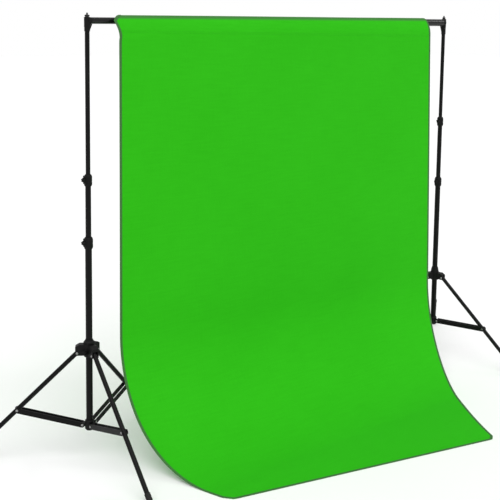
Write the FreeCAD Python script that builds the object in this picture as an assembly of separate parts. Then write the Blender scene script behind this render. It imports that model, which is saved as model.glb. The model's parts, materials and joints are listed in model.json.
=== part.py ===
import FreeCAD, Part
import math
import os

# Background support system: two folding tripod stands, a telescoping crossbar between
# their tops, and a cloth hung from the bar that sweeps forward onto the floor.
# Millimetres, +Z up, X along the crossbar from the left stand to the right one, and the
# cloth sweeps towards -Y. Everything is built round the point on the floor midway
# between the poles, and moved at the end so that the origin is the middle of the footprint.

Vec = FreeCAD.Vector
UP = Vec(0, 0, 1)

# Overall sizes
POLE_SPACING = 2000.0
BAR_HEIGHT = 1700.0
RUN_GAP = 0.3            # clearance between sliding parts
PIN_GAP = 0.06           # radial clearance of a pivot pin
PIN_RADIUS = 2.5
RIVET_HEAD_RADIUS = 5.0
RIVET_HEAD_HEIGHT = 1.8

# Stand columns
WALL = 1.0
LOWER_RADIUS = 13.0
MIDDLE_RADIUS = 11.0
TOP_RADIUS = 9.0
LOWER_TUBE_TOP = 722.0   # end of the lower tube above the hub pivots
TELESCOPE_LENGTH = 720.0 # middle and top tube lengths
LOCK_HEIGHT = 45.0
LOCK_LIP = 24.0          # part of a lock housing above the tube that carries it
LOCK_WALL = 4.5
LOCK_SCREW_DROP = 19.0   # screw's axis below a lock's top
LUG_HALF_WIDTH = 8.0
LUG_HALF_HEIGHT = 16.0
BUSH_LENGTH = 30.0

# Legs and struts
LEG_RADIUS = 9.0
LEG_LENGTH = 604.0       # collar pivot to the floor, along the leg
LEG_TO_STRUT = 322.0     # collar pivot to the strut's rivet, along the leg
STRUT_LENGTH = 258.0
COLLAR_PIVOT_RADIUS = 46.0
HUB_PIVOT_RADIUS = 28.0
STRUT_HALF_HEIGHT = 10.0
STRUT_THICKNESS = 2.5
STRUT_OFFSET = 10.1      # inner face of a strut strip from the leg's middle plane
FOOT_RADIUS = 11.5
FOOT_LENGTH = 46.0

# Leg collar and bottom hub
COLLAR_RADIUS = 20.5
COLLAR_BASE = -16.0      # heights from the leg pivots
EAR_INNER = 10.4
EAR_OUTER = 13.9
EAR_REACH = 53.0
EAR_BASE = -9.0
EAR_SLOT_TOP = 15.0
HUB_RADIUS = 18.0
HUB_BASE = -22.0
HUB_TOP = 18.0
TANG_HALF_WIDTH = 9.8
TANG_END_RADIUS = 6.0

# Knobs and their screws
SCREW_RADIUS = 3.0
BOSS_RADIUS = 8.5
KNOB_LOBES = 5
KNOB_LOBE_RADIUS = 3.5
KNOB_LOBE_CIRCLE = 5.5
KNOB_DEPTH = 9.0
LOCK_LUG_REACH = 4.0     # end of a lock's lug beyond its housing
COLLAR_BOSS_END = 30.0

# Crossbar and its end fittings
BAR_LEFT_RADIUS = 12.5
BAR_MIDDLE_RADIUS = 14.6
BAR_RIGHT_RADIUS = 17.0
BAR_WALL = 1.2
BAR_LEFT_SPAN = (-984.0, -150.0)
BAR_MIDDLE_SPAN = (-350.0, 420.0)
BAR_RIGHT_SPAN = (150.0, 984.0)
BAR_BUSH_LENGTH = 22.0
FITTING_RADIUS = 11.5
SLEEVE_RADIUS = 10.8
FITTING_PLUG = 40.0
GUSSET_THICKNESS = 6.0
STUD_RADIUS = 4.76       # three-eighths inch, below the nut's top
TIP_RADIUS = 3.175       # quarter inch, above the nut
TIP_CHAMFER = 1.0
SEAT_BELOW_BAR = 16.0    # top of the spigot's shoulder below the bar's axis
SHOULDER_HEIGHT = 6.0
NUT_HEIGHT = 8.0
NUT_WING_REACH = 10.0
STUD_ABOVE_FITTING = 16.0

# Cloth
CLOTH_THICKNESS = 2.0
CLOTH_LEFT = -890.0
CLOTH_RIGHT = 872.0
CLOTH_FRONT = -51.0      # front face of the hanging part
POCKET_RADIUS = 22.5     # outside of the cloth where it passes round the bar
POCKET_BEND_DROP = 62.0  # height below the bar's axis at which the front turns back over it
SEAM_TURN = (78.0, 76.0) # degrees round the front's bend at which the return meets it, outside and inside
SWEEP_LEFT = 479.0       # radius of the sweep onto the floor at each edge
SWEEP_RIGHT = 450.0
CORNER_LEFT = (-775.0, -606.0)
CORNER_RIGHT = (431.0, -858.0)
SIDE_MARGIN = 2.0
LEFT_EDGE_BEND = (-841.0, -330.0)   # a point that each side edge passes through on its
RIGHT_EDGE_BEND = (639.0, -432.0)   # way to the front corner


class Stand:
    """Sizes of one stand that differ from left to right."""

    def __init__(self, name, side, leg_angle, rise, knob_angle, collar_knob_angle, middle_out):
        self.name = name
        self.x = side * POLE_SPACING / 2
        self.inward = -side
        self.leg_angle = leg_angle
        self.rise = rise
        self.knob_angle = knob_angle
        self.collar_knob_angle = collar_knob_angle
        self.joint_r, self.joint_rise = strut_joint(rise)
        self.slope = math.atan2(rise - self.joint_rise, self.joint_r - COLLAR_PIVOT_RADIUS)
        self.collar_z = LEG_LENGTH * math.sin(self.slope)
        self.hub_z = self.collar_z - rise
        self.lower_end = self.hub_z + LOWER_TUBE_TOP
        self.lower_lock_top = self.lower_end + LOCK_LIP
        self.middle_end = self.lower_lock_top + middle_out + LOCK_HEIGHT - LOCK_LIP
        self.upper_lock_top = self.middle_end + LOCK_LIP

    def leg_angles(self):
        return [self.leg_angle + 120 * i for i in range(3)]


def strut_joint(rise):
    """Radius and height above the hub pivots of the rivet that joins a strut to its leg."""
    dr = COLLAR_PIVOT_RADIUS - HUB_PIVOT_RADIUS
    span = math.hypot(dr, rise)
    along = (STRUT_LENGTH ** 2 - LEG_TO_STRUT ** 2 + span ** 2) / (2 * span)
    off = math.sqrt(STRUT_LENGTH ** 2 - along ** 2)
    radius = HUB_PIVOT_RADIUS + (along * dr + off * rise) / span
    height = (along * rise - off * dr) / span
    return radius, height


LEFT = Stand("left", -1, 148.0, 290.0, 195.0, 208.0, 198.0)
LEFT.bar_radius = BAR_LEFT_RADIUS
LEFT.fitting_drop = 40.0     # lowest edge of the fitting's sleeve below the bar's axis
LEFT.gusset_reach = 9.0
LEFT.collar_shoulder = 44.0
LEFT.collar_top = 52.0
LEFT.ear_top = 34.0

RIGHT = Stand("right", 1, -80.0, 230.5, 195.0, -20.0, 263.0)
RIGHT.bar_radius = BAR_RIGHT_RADIUS
RIGHT.fitting_drop = 57.0
RIGHT.gusset_reach = 12.0
RIGHT.collar_shoulder = 26.0
RIGHT.collar_top = 50.0
RIGHT.ear_top = 23.0


# ---- shape helpers ----

def rod(radius, start, end):
    """Solid round bar between two points."""
    axis = end - start
    return Part.makeCylinder(radius, axis.Length, start, axis)


def pipe(outer, inner, start, end):
    return rod(outer, start, end).cut(rod(inner, start, end))


def block(x, y, z):
    """Box from three (low, high) pairs."""
    return Part.makeBox(x[1] - x[0], y[1] - y[0], z[1] - z[0], Vec(x[0], y[0], z[0]))


def turned(profile):
    """Solid of revolution about Z from (radius, height) points."""
    points = [Vec(r, 0, z) for r, z in profile]
    face = Part.Face(Part.makePolygon(points + [points[0]]))
    return face.revolve(Vec(0, 0, 0), UP, 360)


def spun(shape, angle):
    """Copy turned about Z by an angle in degrees."""
    copy = shape.copy()
    copy.rotate(Vec(0, 0, 0), UP, angle)
    return copy


def moved(shape, x=0.0, y=0.0, z=0.0):
    copy = shape.copy()
    copy.translate(Vec(x, y, z))
    return copy


def joined(shapes):
    result = shapes[0]
    for shape in shapes[1:]:
        result = result.fuse(shape)
    return result.removeSplitter()


def cross_pin(radius, half_length, x, z):
    """Pin along Y, centred in the middle plane of a leg."""
    return rod(radius, Vec(x, -half_length, z), Vec(x, half_length, z))


def riveted_pin(half_grip, x, z):
    """Pivot rivet with a low domed head at each end."""
    pin = cross_pin(PIN_RADIUS, half_grip, x, z)
    heads = []
    for side in (-1, 1):
        start = Vec(x, side * half_grip, z)
        end = Vec(x, side * (half_grip + RIVET_HEAD_HEIGHT), z)
        cone = Part.makeCone(RIVET_HEAD_RADIUS, RIVET_HEAD_RADIUS * 0.6, RIVET_HEAD_HEIGHT, start, end - start)
        heads.append(cone)
    return joined([pin] + heads)


# ---- stand column ----

def lower_tube(stand):
    foot = Vec(0, 0, stand.hub_z - 14)
    return pipe(LOWER_RADIUS, LOWER_RADIUS - WALL, foot, Vec(0, 0, stand.lower_end))


def middle_tube(stand):
    start = Vec(0, 0, stand.middle_end - TELESCOPE_LENGTH)
    return pipe(MIDDLE_RADIUS, MIDDLE_RADIUS - WALL, start, Vec(0, 0, stand.middle_end))


def top_tube(stand):
    end = BAR_HEIGHT - SEAT_BELOW_BAR - SHOULDER_HEIGHT
    start = Vec(0, 0, end - TELESCOPE_LENGTH)
    return pipe(TOP_RADIUS, TOP_RADIUS - WALL, start, Vec(0, 0, end))


def tube_bush(tube_radius, z):
    """Plastic guide on the hidden lower end of a sliding tube."""
    outer = tube_radius + 0.7
    profile = [(5.0, z - 3), (outer, z - 3), (outer, z + BUSH_LENGTH), (tube_radius, z + BUSH_LENGTH),
               (tube_radius, z), (5.0, z)]
    return turned(profile)


def lock_housing(tube_radius, slider_radius, top, knob_angle):
    """Clamp housing on the end of a tube, with a lug for its locking screw."""
    outer = tube_radius + LOCK_WALL
    base = top - LOCK_HEIGHT
    bore = slider_radius + RUN_GAP
    profile = [(tube_radius, base), (outer - 2.5, base), (outer, base + 5), (outer, top - 8),
               (outer - 3.5, top), (bore, top), (bore, top - LOCK_LIP), (tube_radius, top - LOCK_LIP)]
    body = turned(profile)
    screw_z = top - LOCK_SCREW_DROP
    lug = block((tube_radius + 1, outer + LOCK_LUG_REACH), (-LUG_HALF_WIDTH, LUG_HALF_WIDTH),
                (screw_z - LUG_HALF_HEIGHT, screw_z + LUG_HALF_HEIGHT))
    hole = rod(SCREW_RADIUS + PIN_GAP, Vec(0, 0, screw_z), Vec(outer + 20, 0, screw_z))
    return body.fuse(spun(lug, knob_angle)).cut(spun(hole, knob_angle))


def knob(first, boss_end, z, angle):
    """Five-lobed hand knob on a screw that points at the column from one side."""
    start = boss_end + 0.6
    end = start + KNOB_DEPTH
    pieces = [rod(SCREW_RADIUS, Vec(first, 0, z), Vec(start + 2, 0, z))]
    pieces.append(rod(KNOB_LOBE_CIRCLE, Vec(start, 0, z), Vec(end, 0, z)))
    for i in range(KNOB_LOBES):
        turn = math.radians(90 + 360 * i / KNOB_LOBES)
        y = KNOB_LOBE_CIRCLE * math.cos(turn)
        dz = KNOB_LOBE_CIRCLE * math.sin(turn)
        pieces.append(rod(KNOB_LOBE_RADIUS, Vec(start, y, z + dz), Vec(end, y, z + dz)))
    return spun(joined(pieces), angle)


def lock_knob(tube_radius, slider_radius, top, angle):
    lug_end = tube_radius + LOCK_WALL + LOCK_LUG_REACH
    return knob(slider_radius + 0.5, lug_end, top - LOCK_SCREW_DROP, angle)


# ---- spigot, end fitting and nut ----

def fitting_top(stand):
    return BAR_HEIGHT + stand.bar_radius + 1.0


def spigot(stand):
    """Plug in the top tube with a shoulder, a threaded stud for the nut and a thinner threaded tip."""
    seat = BAR_HEIGHT - SEAT_BELOW_BAR
    step = fitting_top(stand) + NUT_HEIGHT + 0.8
    tip = fitting_top(stand) + STUD_ABOVE_FITTING
    inner = TOP_RADIUS - WALL
    profile = [(0, seat - 40), (inner, seat - 40), (inner, seat - SHOULDER_HEIGHT),
               (TOP_RADIUS, seat - SHOULDER_HEIGHT), (TOP_RADIUS, seat), (STUD_RADIUS, seat),
               (STUD_RADIUS, step), (TIP_RADIUS, step), (TIP_RADIUS, tip - TIP_CHAMFER),
               (TIP_RADIUS - TIP_CHAMFER, tip), (0, tip)]
    return turned(profile)


def bar_fitting(stand):
    """Socket that drops over a spigot and plugs into the end of the crossbar."""
    seat = BAR_HEIGHT - SEAT_BELOW_BAR + 0.2
    top = fitting_top(stand)
    low = BAR_HEIGHT - stand.fitting_drop
    toward = stand.inward
    sleeve = rod(SLEEVE_RADIUS, Vec(0, 0, low), Vec(0, 0, seat))
    boss = rod(FITTING_RADIUS, Vec(0, 0, seat - 8), Vec(0, 0, top))
    collar = rod(stand.bar_radius, Vec(0, 0, BAR_HEIGHT), Vec(toward * 16, 0, BAR_HEIGHT))
    plug_end = Vec(toward * (16 + FITTING_PLUG), 0, BAR_HEIGHT)
    plug = rod(stand.bar_radius - BAR_WALL, Vec(0, 0, BAR_HEIGHT), plug_end)
    half = GUSSET_THICKNESS / 2
    under = BAR_HEIGHT - stand.bar_radius - 0.4
    corners = [Vec(0, -half, under + 4), Vec(toward * 15, -half, under + 4), Vec(toward * 15, -half, under),
               Vec(toward * (FITTING_RADIUS + stand.gusset_reach), -half, under), Vec(toward * 10, -half, low + 3),
               Vec(0, -half, low + 3)]
    gusset = Part.Face(Part.makePolygon(corners + [corners[0]])).extrude(Vec(0, GUSSET_THICKNESS, 0))
    body = joined([sleeve, boss, collar, plug, gusset])
    below = rod(TOP_RADIUS + RUN_GAP, Vec(0, 0, low - 1), Vec(0, 0, seat))
    through = rod(STUD_RADIUS + PIN_GAP, Vec(0, 0, seat - 1), Vec(0, 0, top + 1))
    return body.cut(below).cut(through)


def wing_nut(stand):
    """Nut with two low wings that clamps the fitting on its stud."""
    base = fitting_top(stand) + 0.3
    top = base + NUT_HEIGHT
    body = turned([(0, base), (7.5, base), (6.2, top), (0, top)])
    wings = []
    for side in (-1, 1):
        corners = [Vec(0, -1.5, base + 1), Vec(side * 8, -1.5, base + 1), Vec(side * NUT_WING_REACH, -1.5, base + 4),
                   Vec(side * (NUT_WING_REACH - 1), -1.5, top - 0.5), Vec(0, -1.5, top - 0.5)]
        wings.append(Part.Face(Part.makePolygon(corners + [corners[0]])).extrude(Vec(0, 3, 0)))
    hole = rod(STUD_RADIUS + PIN_GAP, Vec(0, 0, base - 1), Vec(0, 0, top + 5))
    return joined([body] + wings).cut(hole)


# ---- tripod ----

def leg_direction(stand):
    return Vec(math.cos(stand.slope), 0, -math.sin(stand.slope))


def leg_point(stand, distance):
    """Point on a leg's axis at a distance from its collar pivot, in the leg's own plane."""
    return Vec(COLLAR_PIVOT_RADIUS, 0, stand.collar_z) + leg_direction(stand) * distance


def leg(stand, angle):
    """Leg tube with its moulded head, drilled for the collar rivet."""
    tube = rod(LEG_RADIUS, leg_point(stand, -10), leg_point(stand, LEG_LENGTH - 16))
    bore = rod(LEG_RADIUS - WALL - 0.2, leg_point(stand, 14), leg_point(stand, LEG_LENGTH))
    hole = cross_pin(PIN_RADIUS + PIN_GAP, 20, COLLAR_PIVOT_RADIUS, stand.collar_z)
    return spun(tube.cut(bore).cut(hole), angle)


def foot(stand, angle):
    """Rubber boot on the end of a leg, flat where it stands on the floor."""
    boot = rod(FOOT_RADIUS, leg_point(stand, LEG_LENGTH - FOOT_LENGTH), leg_point(stand, LEG_LENGTH + 20))
    socket = rod(LEG_RADIUS, leg_point(stand, LEG_LENGTH - FOOT_LENGTH - 1), leg_point(stand, LEG_LENGTH - 16))
    reach = LEG_LENGTH + 100
    above_floor = block((0, reach), (-50, 50), (0, 200))
    return spun(boot.cut(socket).common(above_floor), angle)


def strut(stand, angle):
    """Two flat strips, one each side of a leg, with the rivet heads that hold the leg."""
    hub = Vec(HUB_PIVOT_RADIUS, 0, stand.hub_z)
    joint = Vec(stand.joint_r, 0, stand.hub_z + stand.joint_rise)
    along = (joint - hub).normalize()
    across = Vec(-along.z, 0, along.x) * STRUT_HALF_HEIGHT
    strips = []
    for side in (-1, 1):
        inner = Vec(0, side * STRUT_OFFSET, 0)
        thick = Vec(0, side * STRUT_THICKNESS, 0)
        corners = [hub + across, joint + across, joint - across, hub - across]
        plate = Part.Face(Part.makePolygon([c + inner for c in corners + corners[:1]])).extrude(thick)
        ends = [Part.makeCylinder(STRUT_HALF_HEIGHT, STRUT_THICKNESS, p + inner, thick) for p in (hub, joint)]
        head_base = joint + inner + thick
        head = Part.makeCone(RIVET_HEAD_RADIUS, RIVET_HEAD_RADIUS * 0.6, RIVET_HEAD_HEIGHT, head_base, thick)
        strip = joined([plate] + ends).cut(cross_pin(PIN_RADIUS + PIN_GAP, 20, hub.x, hub.z))
        strips.append(strip.fuse(head))
    return spun(Part.makeCompound(strips), angle)


def leg_collar(stand):
    """Sliding collar with three hooded clevises for the legs and a boss for its knob."""
    z = stand.collar_z
    profile = [(12.0, z + COLLAR_BASE), (COLLAR_RADIUS - 2, z + COLLAR_BASE), (COLLAR_RADIUS, z + COLLAR_BASE + 3),
               (COLLAR_RADIUS, z + stand.collar_shoulder), (LOWER_RADIUS + 3.5, z + stand.collar_top - 4),
               (LOWER_RADIUS + 2.2, z + stand.collar_top), (12.0, z + stand.collar_top)]
    body = turned(profile)
    for angle in stand.leg_angles():
        hood = block((10, EAR_REACH), (-EAR_OUTER, EAR_OUTER), (z + EAR_BASE, z + stand.ear_top))
        bevel = block((0, 60), (-20, 20), (0, 30))
        bevel.rotate(Vec(0, 0, 0), Vec(0, 1, 0), 30)
        hood = hood.cut(moved(bevel, COLLAR_PIVOT_RADIUS - 8, 0, z + stand.ear_top))
        slot = block((28, EAR_REACH + 5), (-EAR_INNER, EAR_INNER), (z + EAR_BASE - 1, z + EAR_SLOT_TOP))
        hole = cross_pin(PIN_RADIUS, 20, COLLAR_PIVOT_RADIUS, z)
        body = body.fuse(spun(hood, angle))
        body = body.cut(spun(slot, angle)).cut(spun(hole, angle))
    screw_z = z + 6
    boss = rod(BOSS_RADIUS, Vec(14, 0, screw_z), Vec(COLLAR_BOSS_END, 0, screw_z))
    hole = rod(SCREW_RADIUS + PIN_GAP, Vec(0, 0, screw_z), Vec(60, 0, screw_z))
    body = body.fuse(spun(boss, stand.collar_knob_angle)).cut(spun(hole, stand.collar_knob_angle))
    bore = rod(LOWER_RADIUS + RUN_GAP, Vec(0, 0, z - 50), Vec(0, 0, z + 100))
    return body.cut(bore)


def collar_knob(stand):
    return knob(LOWER_RADIUS + 0.5, COLLAR_BOSS_END, stand.collar_z + 6, stand.collar_knob_angle)


def collar_rivets(stand):
    pin = riveted_pin(EAR_OUTER, COLLAR_PIVOT_RADIUS, stand.collar_z)
    return Part.makeCompound([spun(pin, angle) for angle in stand.leg_angles()])


def base_hub(stand):
    """Cap on the foot of the column with three tangs for the struts."""
    z = stand.hub_z
    profile = [(0, z + HUB_BASE), (HUB_RADIUS - 4, z + HUB_BASE), (HUB_RADIUS, z + HUB_BASE + 5),
               (HUB_RADIUS, z + HUB_TOP - 3), (HUB_RADIUS - 2, z + HUB_TOP), (0, z + HUB_TOP)]
    body = turned(profile)
    for angle in stand.leg_angles():
        tang = block((10, HUB_PIVOT_RADIUS), (-TANG_HALF_WIDTH, TANG_HALF_WIDTH),
                     (z - TANG_END_RADIUS, z + TANG_END_RADIUS))
        tip = cross_pin(TANG_END_RADIUS, TANG_HALF_WIDTH, HUB_PIVOT_RADIUS, z)
        hole = cross_pin(PIN_RADIUS, 20, HUB_PIVOT_RADIUS, z)
        body = body.fuse(spun(tang.fuse(tip), angle)).cut(spun(hole, angle))
    socket = rod(LOWER_RADIUS, Vec(0, 0, z - 14), Vec(0, 0, z + 40))
    return body.cut(socket)


def hub_rivets(stand):
    grip = STRUT_OFFSET + STRUT_THICKNESS + RUN_GAP
    pin = riveted_pin(grip, HUB_PIVOT_RADIUS, stand.hub_z)
    return Part.makeCompound([spun(pin, angle) for angle in stand.leg_angles()])


def stand_nodes(stand):
    """Every piece of one stand by name, placed at its pole."""
    parts = {
        "lower_tube": lower_tube(stand),
        "base_hub": base_hub(stand),
        "hub_rivets": hub_rivets(stand),
        "lower_lock": lock_housing(LOWER_RADIUS, MIDDLE_RADIUS, stand.lower_lock_top, stand.knob_angle),
        "lower_knob": lock_knob(LOWER_RADIUS, MIDDLE_RADIUS, stand.lower_lock_top, stand.knob_angle),
        "middle_tube": middle_tube(stand),
        "middle_bush": tube_bush(MIDDLE_RADIUS, stand.middle_end - TELESCOPE_LENGTH),
        "upper_lock": lock_housing(MIDDLE_RADIUS, TOP_RADIUS, stand.upper_lock_top, stand.knob_angle),
        "upper_knob": lock_knob(MIDDLE_RADIUS, TOP_RADIUS, stand.upper_lock_top, stand.knob_angle),
        "top_tube": top_tube(stand),
        "top_bush": tube_bush(TOP_RADIUS, BAR_HEIGHT - SEAT_BELOW_BAR - SHOULDER_HEIGHT - TELESCOPE_LENGTH),
        "spigot": spigot(stand),
        "wing_nut": wing_nut(stand),
        "bar_fitting": bar_fitting(stand),
        "leg_collar": leg_collar(stand),
        "collar_rivets": collar_rivets(stand),
        "collar_knob": collar_knob(stand),
    }
    for i, angle in enumerate(stand.leg_angles(), start=1):
        parts[f"leg_{i}"] = leg(stand, angle)
        parts[f"foot_{i}"] = foot(stand, angle)
        parts[f"strut_{i}"] = strut(stand, angle)
    return {f"{stand.name}_{name}": moved(shape, stand.x) for name, shape in parts.items()}


# ---- crossbar ----

def bar_section(radius, span):
    start = Vec(span[0], 0, BAR_HEIGHT)
    end = Vec(span[1], 0, BAR_HEIGHT)
    return pipe(radius, radius - BAR_WALL, start, end)


def bar_bush(tube_radius, slider_radius, mouth):
    """Plastic ring over the mouth of the larger of two bar sections."""
    lip = pipe(tube_radius + 1.6, slider_radius + RUN_GAP, Vec(mouth - 5, 0, BAR_HEIGHT), Vec(mouth, 0, BAR_HEIGHT))
    skirt_end = Vec(mouth - 5 + BAR_BUSH_LENGTH, 0, BAR_HEIGHT)
    skirt = pipe(tube_radius + 1.6, tube_radius, Vec(mouth, 0, BAR_HEIGHT), skirt_end)
    return lip.fuse(skirt)


# ---- cloth ----

def tangent_point(radius, y, z):
    """Point on a circle about the bar's axis where a line from (y, z) passes under the bar."""
    to_axis = BAR_HEIGHT - z
    distance = math.hypot(y, to_axis)
    bearing = math.atan2(to_axis, -y) - math.asin(radius / distance)
    reach = math.sqrt(distance ** 2 - radius ** 2)
    return y + reach * math.cos(bearing), z + reach * math.sin(bearing)


def pocket_loop(inset, turn):
    """One face of the cloth over the bar and back to the front part, from the start of its bend.

    Returns its edges and the point on the front's bend where the return meets it.
    """
    bend_z = BAR_HEIGHT - POCKET_BEND_DROP
    centre = Vec(0, 0, bend_z)
    front = CLOTH_FRONT + inset
    radius = POCKET_RADIUS - inset
    top = Vec(0, 0, BAR_HEIGHT + radius)
    bend = Part.Ellipse(top, Vec(0, front, bend_z), centre)
    inner_bend = Part.Ellipse(Vec(0, 0, BAR_HEIGHT + POCKET_RADIUS - CLOTH_THICKNESS),
                              Vec(0, CLOTH_FRONT + CLOTH_THICKNESS, bend_z), centre)
    seam = inner_bend.value(math.radians(turn))
    y, z = tangent_point(radius, seam.y, seam.z)
    under = Vec(0, y, z)
    back = Part.Arc(top, Vec(0, radius, BAR_HEIGHT), under).toShape()
    return bend, inner_bend, back, Part.LineSegment(under, seam).toShape(), seam


def pocket_and_drop(bottom):
    """Rod pocket and the straight hanging part, down to a height."""
    quarter = math.pi / 2
    behind = CLOTH_FRONT + CLOTH_THICKNESS
    bend_z = BAR_HEIGHT - POCKET_BEND_DROP
    bend, inner_bend, back, under, seam = pocket_loop(0.0, SEAM_TURN[0])
    path = [Vec(0, behind, bend_z), Vec(0, behind, bottom), Vec(0, CLOTH_FRONT, bottom), Vec(0, CLOTH_FRONT, bend_z)]
    edges = [Part.LineSegment(a, b).toShape() for a, b in zip(path, path[1:])]
    edges += [Part.ArcOfEllipse(bend, 0, quarter).toShape(), back, under]
    edges.append(Part.ArcOfEllipse(inner_bend, math.radians(SEAM_TURN[0]), quarter).toShape())
    sheet = Part.Face(Part.Wire(Part.__sortEdges__(edges)))
    _, inner_bend, back, under, seam = pocket_loop(CLOTH_THICKNESS, SEAM_TURN[1])
    hole_edges = [Part.ArcOfEllipse(inner_bend, 0, math.radians(SEAM_TURN[1])).toShape(), back, under]
    opening = Part.Face(Part.Wire(Part.__sortEdges__(hole_edges)))
    face = moved(sheet.cut(opening), CLOTH_LEFT)
    return face.extrude(Vec(CLOTH_RIGHT - CLOTH_LEFT, 0, 0))


def sweep_profile(x, radius, top, reach):
    """Closed outline of the cloth's sweep from the hanging part onto the floor."""
    front = CLOTH_FRONT
    back = front + CLOTH_THICKNESS
    low = CLOTH_THICKNESS
    half = math.sqrt(0.5)
    inner = radius - CLOTH_THICKNESS
    axis_y = front - inner
    outer_mid = Vec(x, axis_y + radius * half, radius - radius * half)
    inner_mid = Vec(x, axis_y + inner * half, radius - inner * half)
    edges = [
        Part.LineSegment(Vec(x, back, top), Vec(x, back, radius)),
        Part.Arc(Vec(x, back, radius), outer_mid, Vec(x, axis_y, 0)),
        Part.LineSegment(Vec(x, axis_y, 0), Vec(x, reach, 0)),
        Part.LineSegment(Vec(x, reach, 0), Vec(x, reach, low)),
        Part.LineSegment(Vec(x, reach, low), Vec(x, axis_y, low)),
        Part.Arc(Vec(x, axis_y, low), inner_mid, Vec(x, front, radius)),
        Part.LineSegment(Vec(x, front, radius), Vec(x, front, top)),
        Part.LineSegment(Vec(x, front, top), Vec(x, back, top)),
    ]
    return Part.Wire([edge.toShape() for edge in edges])


def side_arc(side_x, bend, corner):
    """Arc in plan from the side of the cloth, where it hangs, to a front corner."""
    start = Vec(side_x, CLOTH_FRONT, 0)
    return Part.Arc(start, Vec(bend[0], bend[1], 0), Vec(corner[0], corner[1], 0)).toShape()


def plan_outline(height):
    """Prism over the cloth's outline in plan, with its drawn-in sides and slanting front edge.

    Its sides stand a little outside the cloth's, so that each arc crosses the side of the cloth.
    """
    back = 60.0
    left_x = CLOTH_LEFT - SIDE_MARGIN
    right_x = CLOTH_RIGHT + SIDE_MARGIN
    edges = [
        Part.LineSegment(Vec(left_x, back, 0), Vec(left_x, CLOTH_FRONT, 0)).toShape(),
        side_arc(left_x, LEFT_EDGE_BEND, CORNER_LEFT),
        Part.LineSegment(Vec(*CORNER_LEFT, 0), Vec(*CORNER_RIGHT, 0)).toShape(),
        side_arc(right_x, RIGHT_EDGE_BEND, CORNER_RIGHT),
        Part.LineSegment(Vec(right_x, CLOTH_FRONT, 0), Vec(right_x, back, 0)).toShape(),
        Part.LineSegment(Vec(right_x, back, 0), Vec(left_x, back, 0)).toShape(),
    ]
    face = Part.Face(Part.Wire(Part.__sortEdges__(edges)))
    return moved(face.extrude(Vec(0, 0, height + 1)), z=-1)


def backdrop_cloth():
    """The hung cloth as one thin closed solid."""
    top = SWEEP_LEFT + 60
    reach = CORNER_RIGHT[1] - 20
    profiles = [sweep_profile(CLOTH_LEFT, SWEEP_LEFT, top, reach), sweep_profile(CLOTH_RIGHT, SWEEP_RIGHT, top, reach)]
    sweep = Part.makeLoft(profiles, True, True).common(plan_outline(top))
    return pocket_and_drop(top).fuse(sweep).removeSplitter()


# ---- whole object ----

def all_nodes():
    nodes = {}
    for stand in (LEFT, RIGHT):
        nodes.update(stand_nodes(stand))
    nodes["bar_left_section"] = bar_section(BAR_LEFT_RADIUS, BAR_LEFT_SPAN)
    nodes["bar_middle_section"] = bar_section(BAR_MIDDLE_RADIUS, BAR_MIDDLE_SPAN)
    nodes["bar_right_section"] = bar_section(BAR_RIGHT_RADIUS, BAR_RIGHT_SPAN)
    nodes["bar_middle_bush"] = bar_bush(BAR_MIDDLE_RADIUS, BAR_LEFT_RADIUS, BAR_MIDDLE_SPAN[0])
    nodes["bar_right_bush"] = bar_bush(BAR_RIGHT_RADIUS, BAR_MIDDLE_RADIUS, BAR_RIGHT_SPAN[0])
    nodes["backdrop_cloth"] = backdrop_cloth()
    return nodes


def footprint_centre(nodes):
    """Middle of the whole object's bounding box in plan."""
    box = FreeCAD.BoundBox()
    for shape in nodes.values():
        box.add(shape.optimalBoundingBox(False))
    return Vec(box.Center.x, box.Center.y, 0)


def main():
    os.makedirs("parts", exist_ok=True)
    nodes = all_nodes()
    centre = footprint_centre(nodes)
    print("origin from the midpoint of the poles:", round(centre.x, 2), round(centre.y, 2))
    for name, shape in nodes.items():
        placed = moved(shape, -centre.x, -centre.y)
        placed.exportStep(f"parts/{name}.step")


if __name__ == "__main__":
    main()
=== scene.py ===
"""Looks of the background support system: two tripod stands, a crossbar and a hung cloth.

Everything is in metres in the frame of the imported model: +Z up, X along the crossbar, and
the cloth sweeps forward towards -Y onto the floor.
"""

import json
import logging
import math
from dataclasses import dataclass, field
from enum import Enum

import bmesh
import bpy
import numpy as np
from mathutils import Matrix, Vector


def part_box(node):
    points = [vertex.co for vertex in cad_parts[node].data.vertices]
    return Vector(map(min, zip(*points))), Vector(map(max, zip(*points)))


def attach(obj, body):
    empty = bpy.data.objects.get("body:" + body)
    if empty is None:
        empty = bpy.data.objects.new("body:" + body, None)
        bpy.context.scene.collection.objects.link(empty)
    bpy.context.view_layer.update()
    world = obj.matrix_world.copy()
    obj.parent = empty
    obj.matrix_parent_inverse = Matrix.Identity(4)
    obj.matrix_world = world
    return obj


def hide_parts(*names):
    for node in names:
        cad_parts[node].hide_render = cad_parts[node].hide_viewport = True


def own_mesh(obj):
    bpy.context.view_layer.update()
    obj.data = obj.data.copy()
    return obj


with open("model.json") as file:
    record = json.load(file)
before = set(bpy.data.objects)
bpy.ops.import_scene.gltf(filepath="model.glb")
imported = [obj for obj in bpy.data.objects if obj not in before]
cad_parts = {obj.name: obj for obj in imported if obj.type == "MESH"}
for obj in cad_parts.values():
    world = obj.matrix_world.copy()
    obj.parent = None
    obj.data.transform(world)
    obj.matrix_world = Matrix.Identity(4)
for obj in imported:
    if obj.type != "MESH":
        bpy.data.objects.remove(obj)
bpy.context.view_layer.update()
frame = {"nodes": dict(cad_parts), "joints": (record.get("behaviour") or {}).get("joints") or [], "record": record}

logging.basicConfig(level=logging.INFO, format="%(message)s")
log = logging.getLogger("backdrop_stand")

Colour = tuple[float, float, float]
Mesh = bmesh.types.BMesh
Node = bpy.types.Node
Outputs = bpy.types.NodeOutputs
Piece = bpy.types.Object
Socket = bpy.types.NodeSocket
Tree = bpy.types.NodeTree

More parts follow.
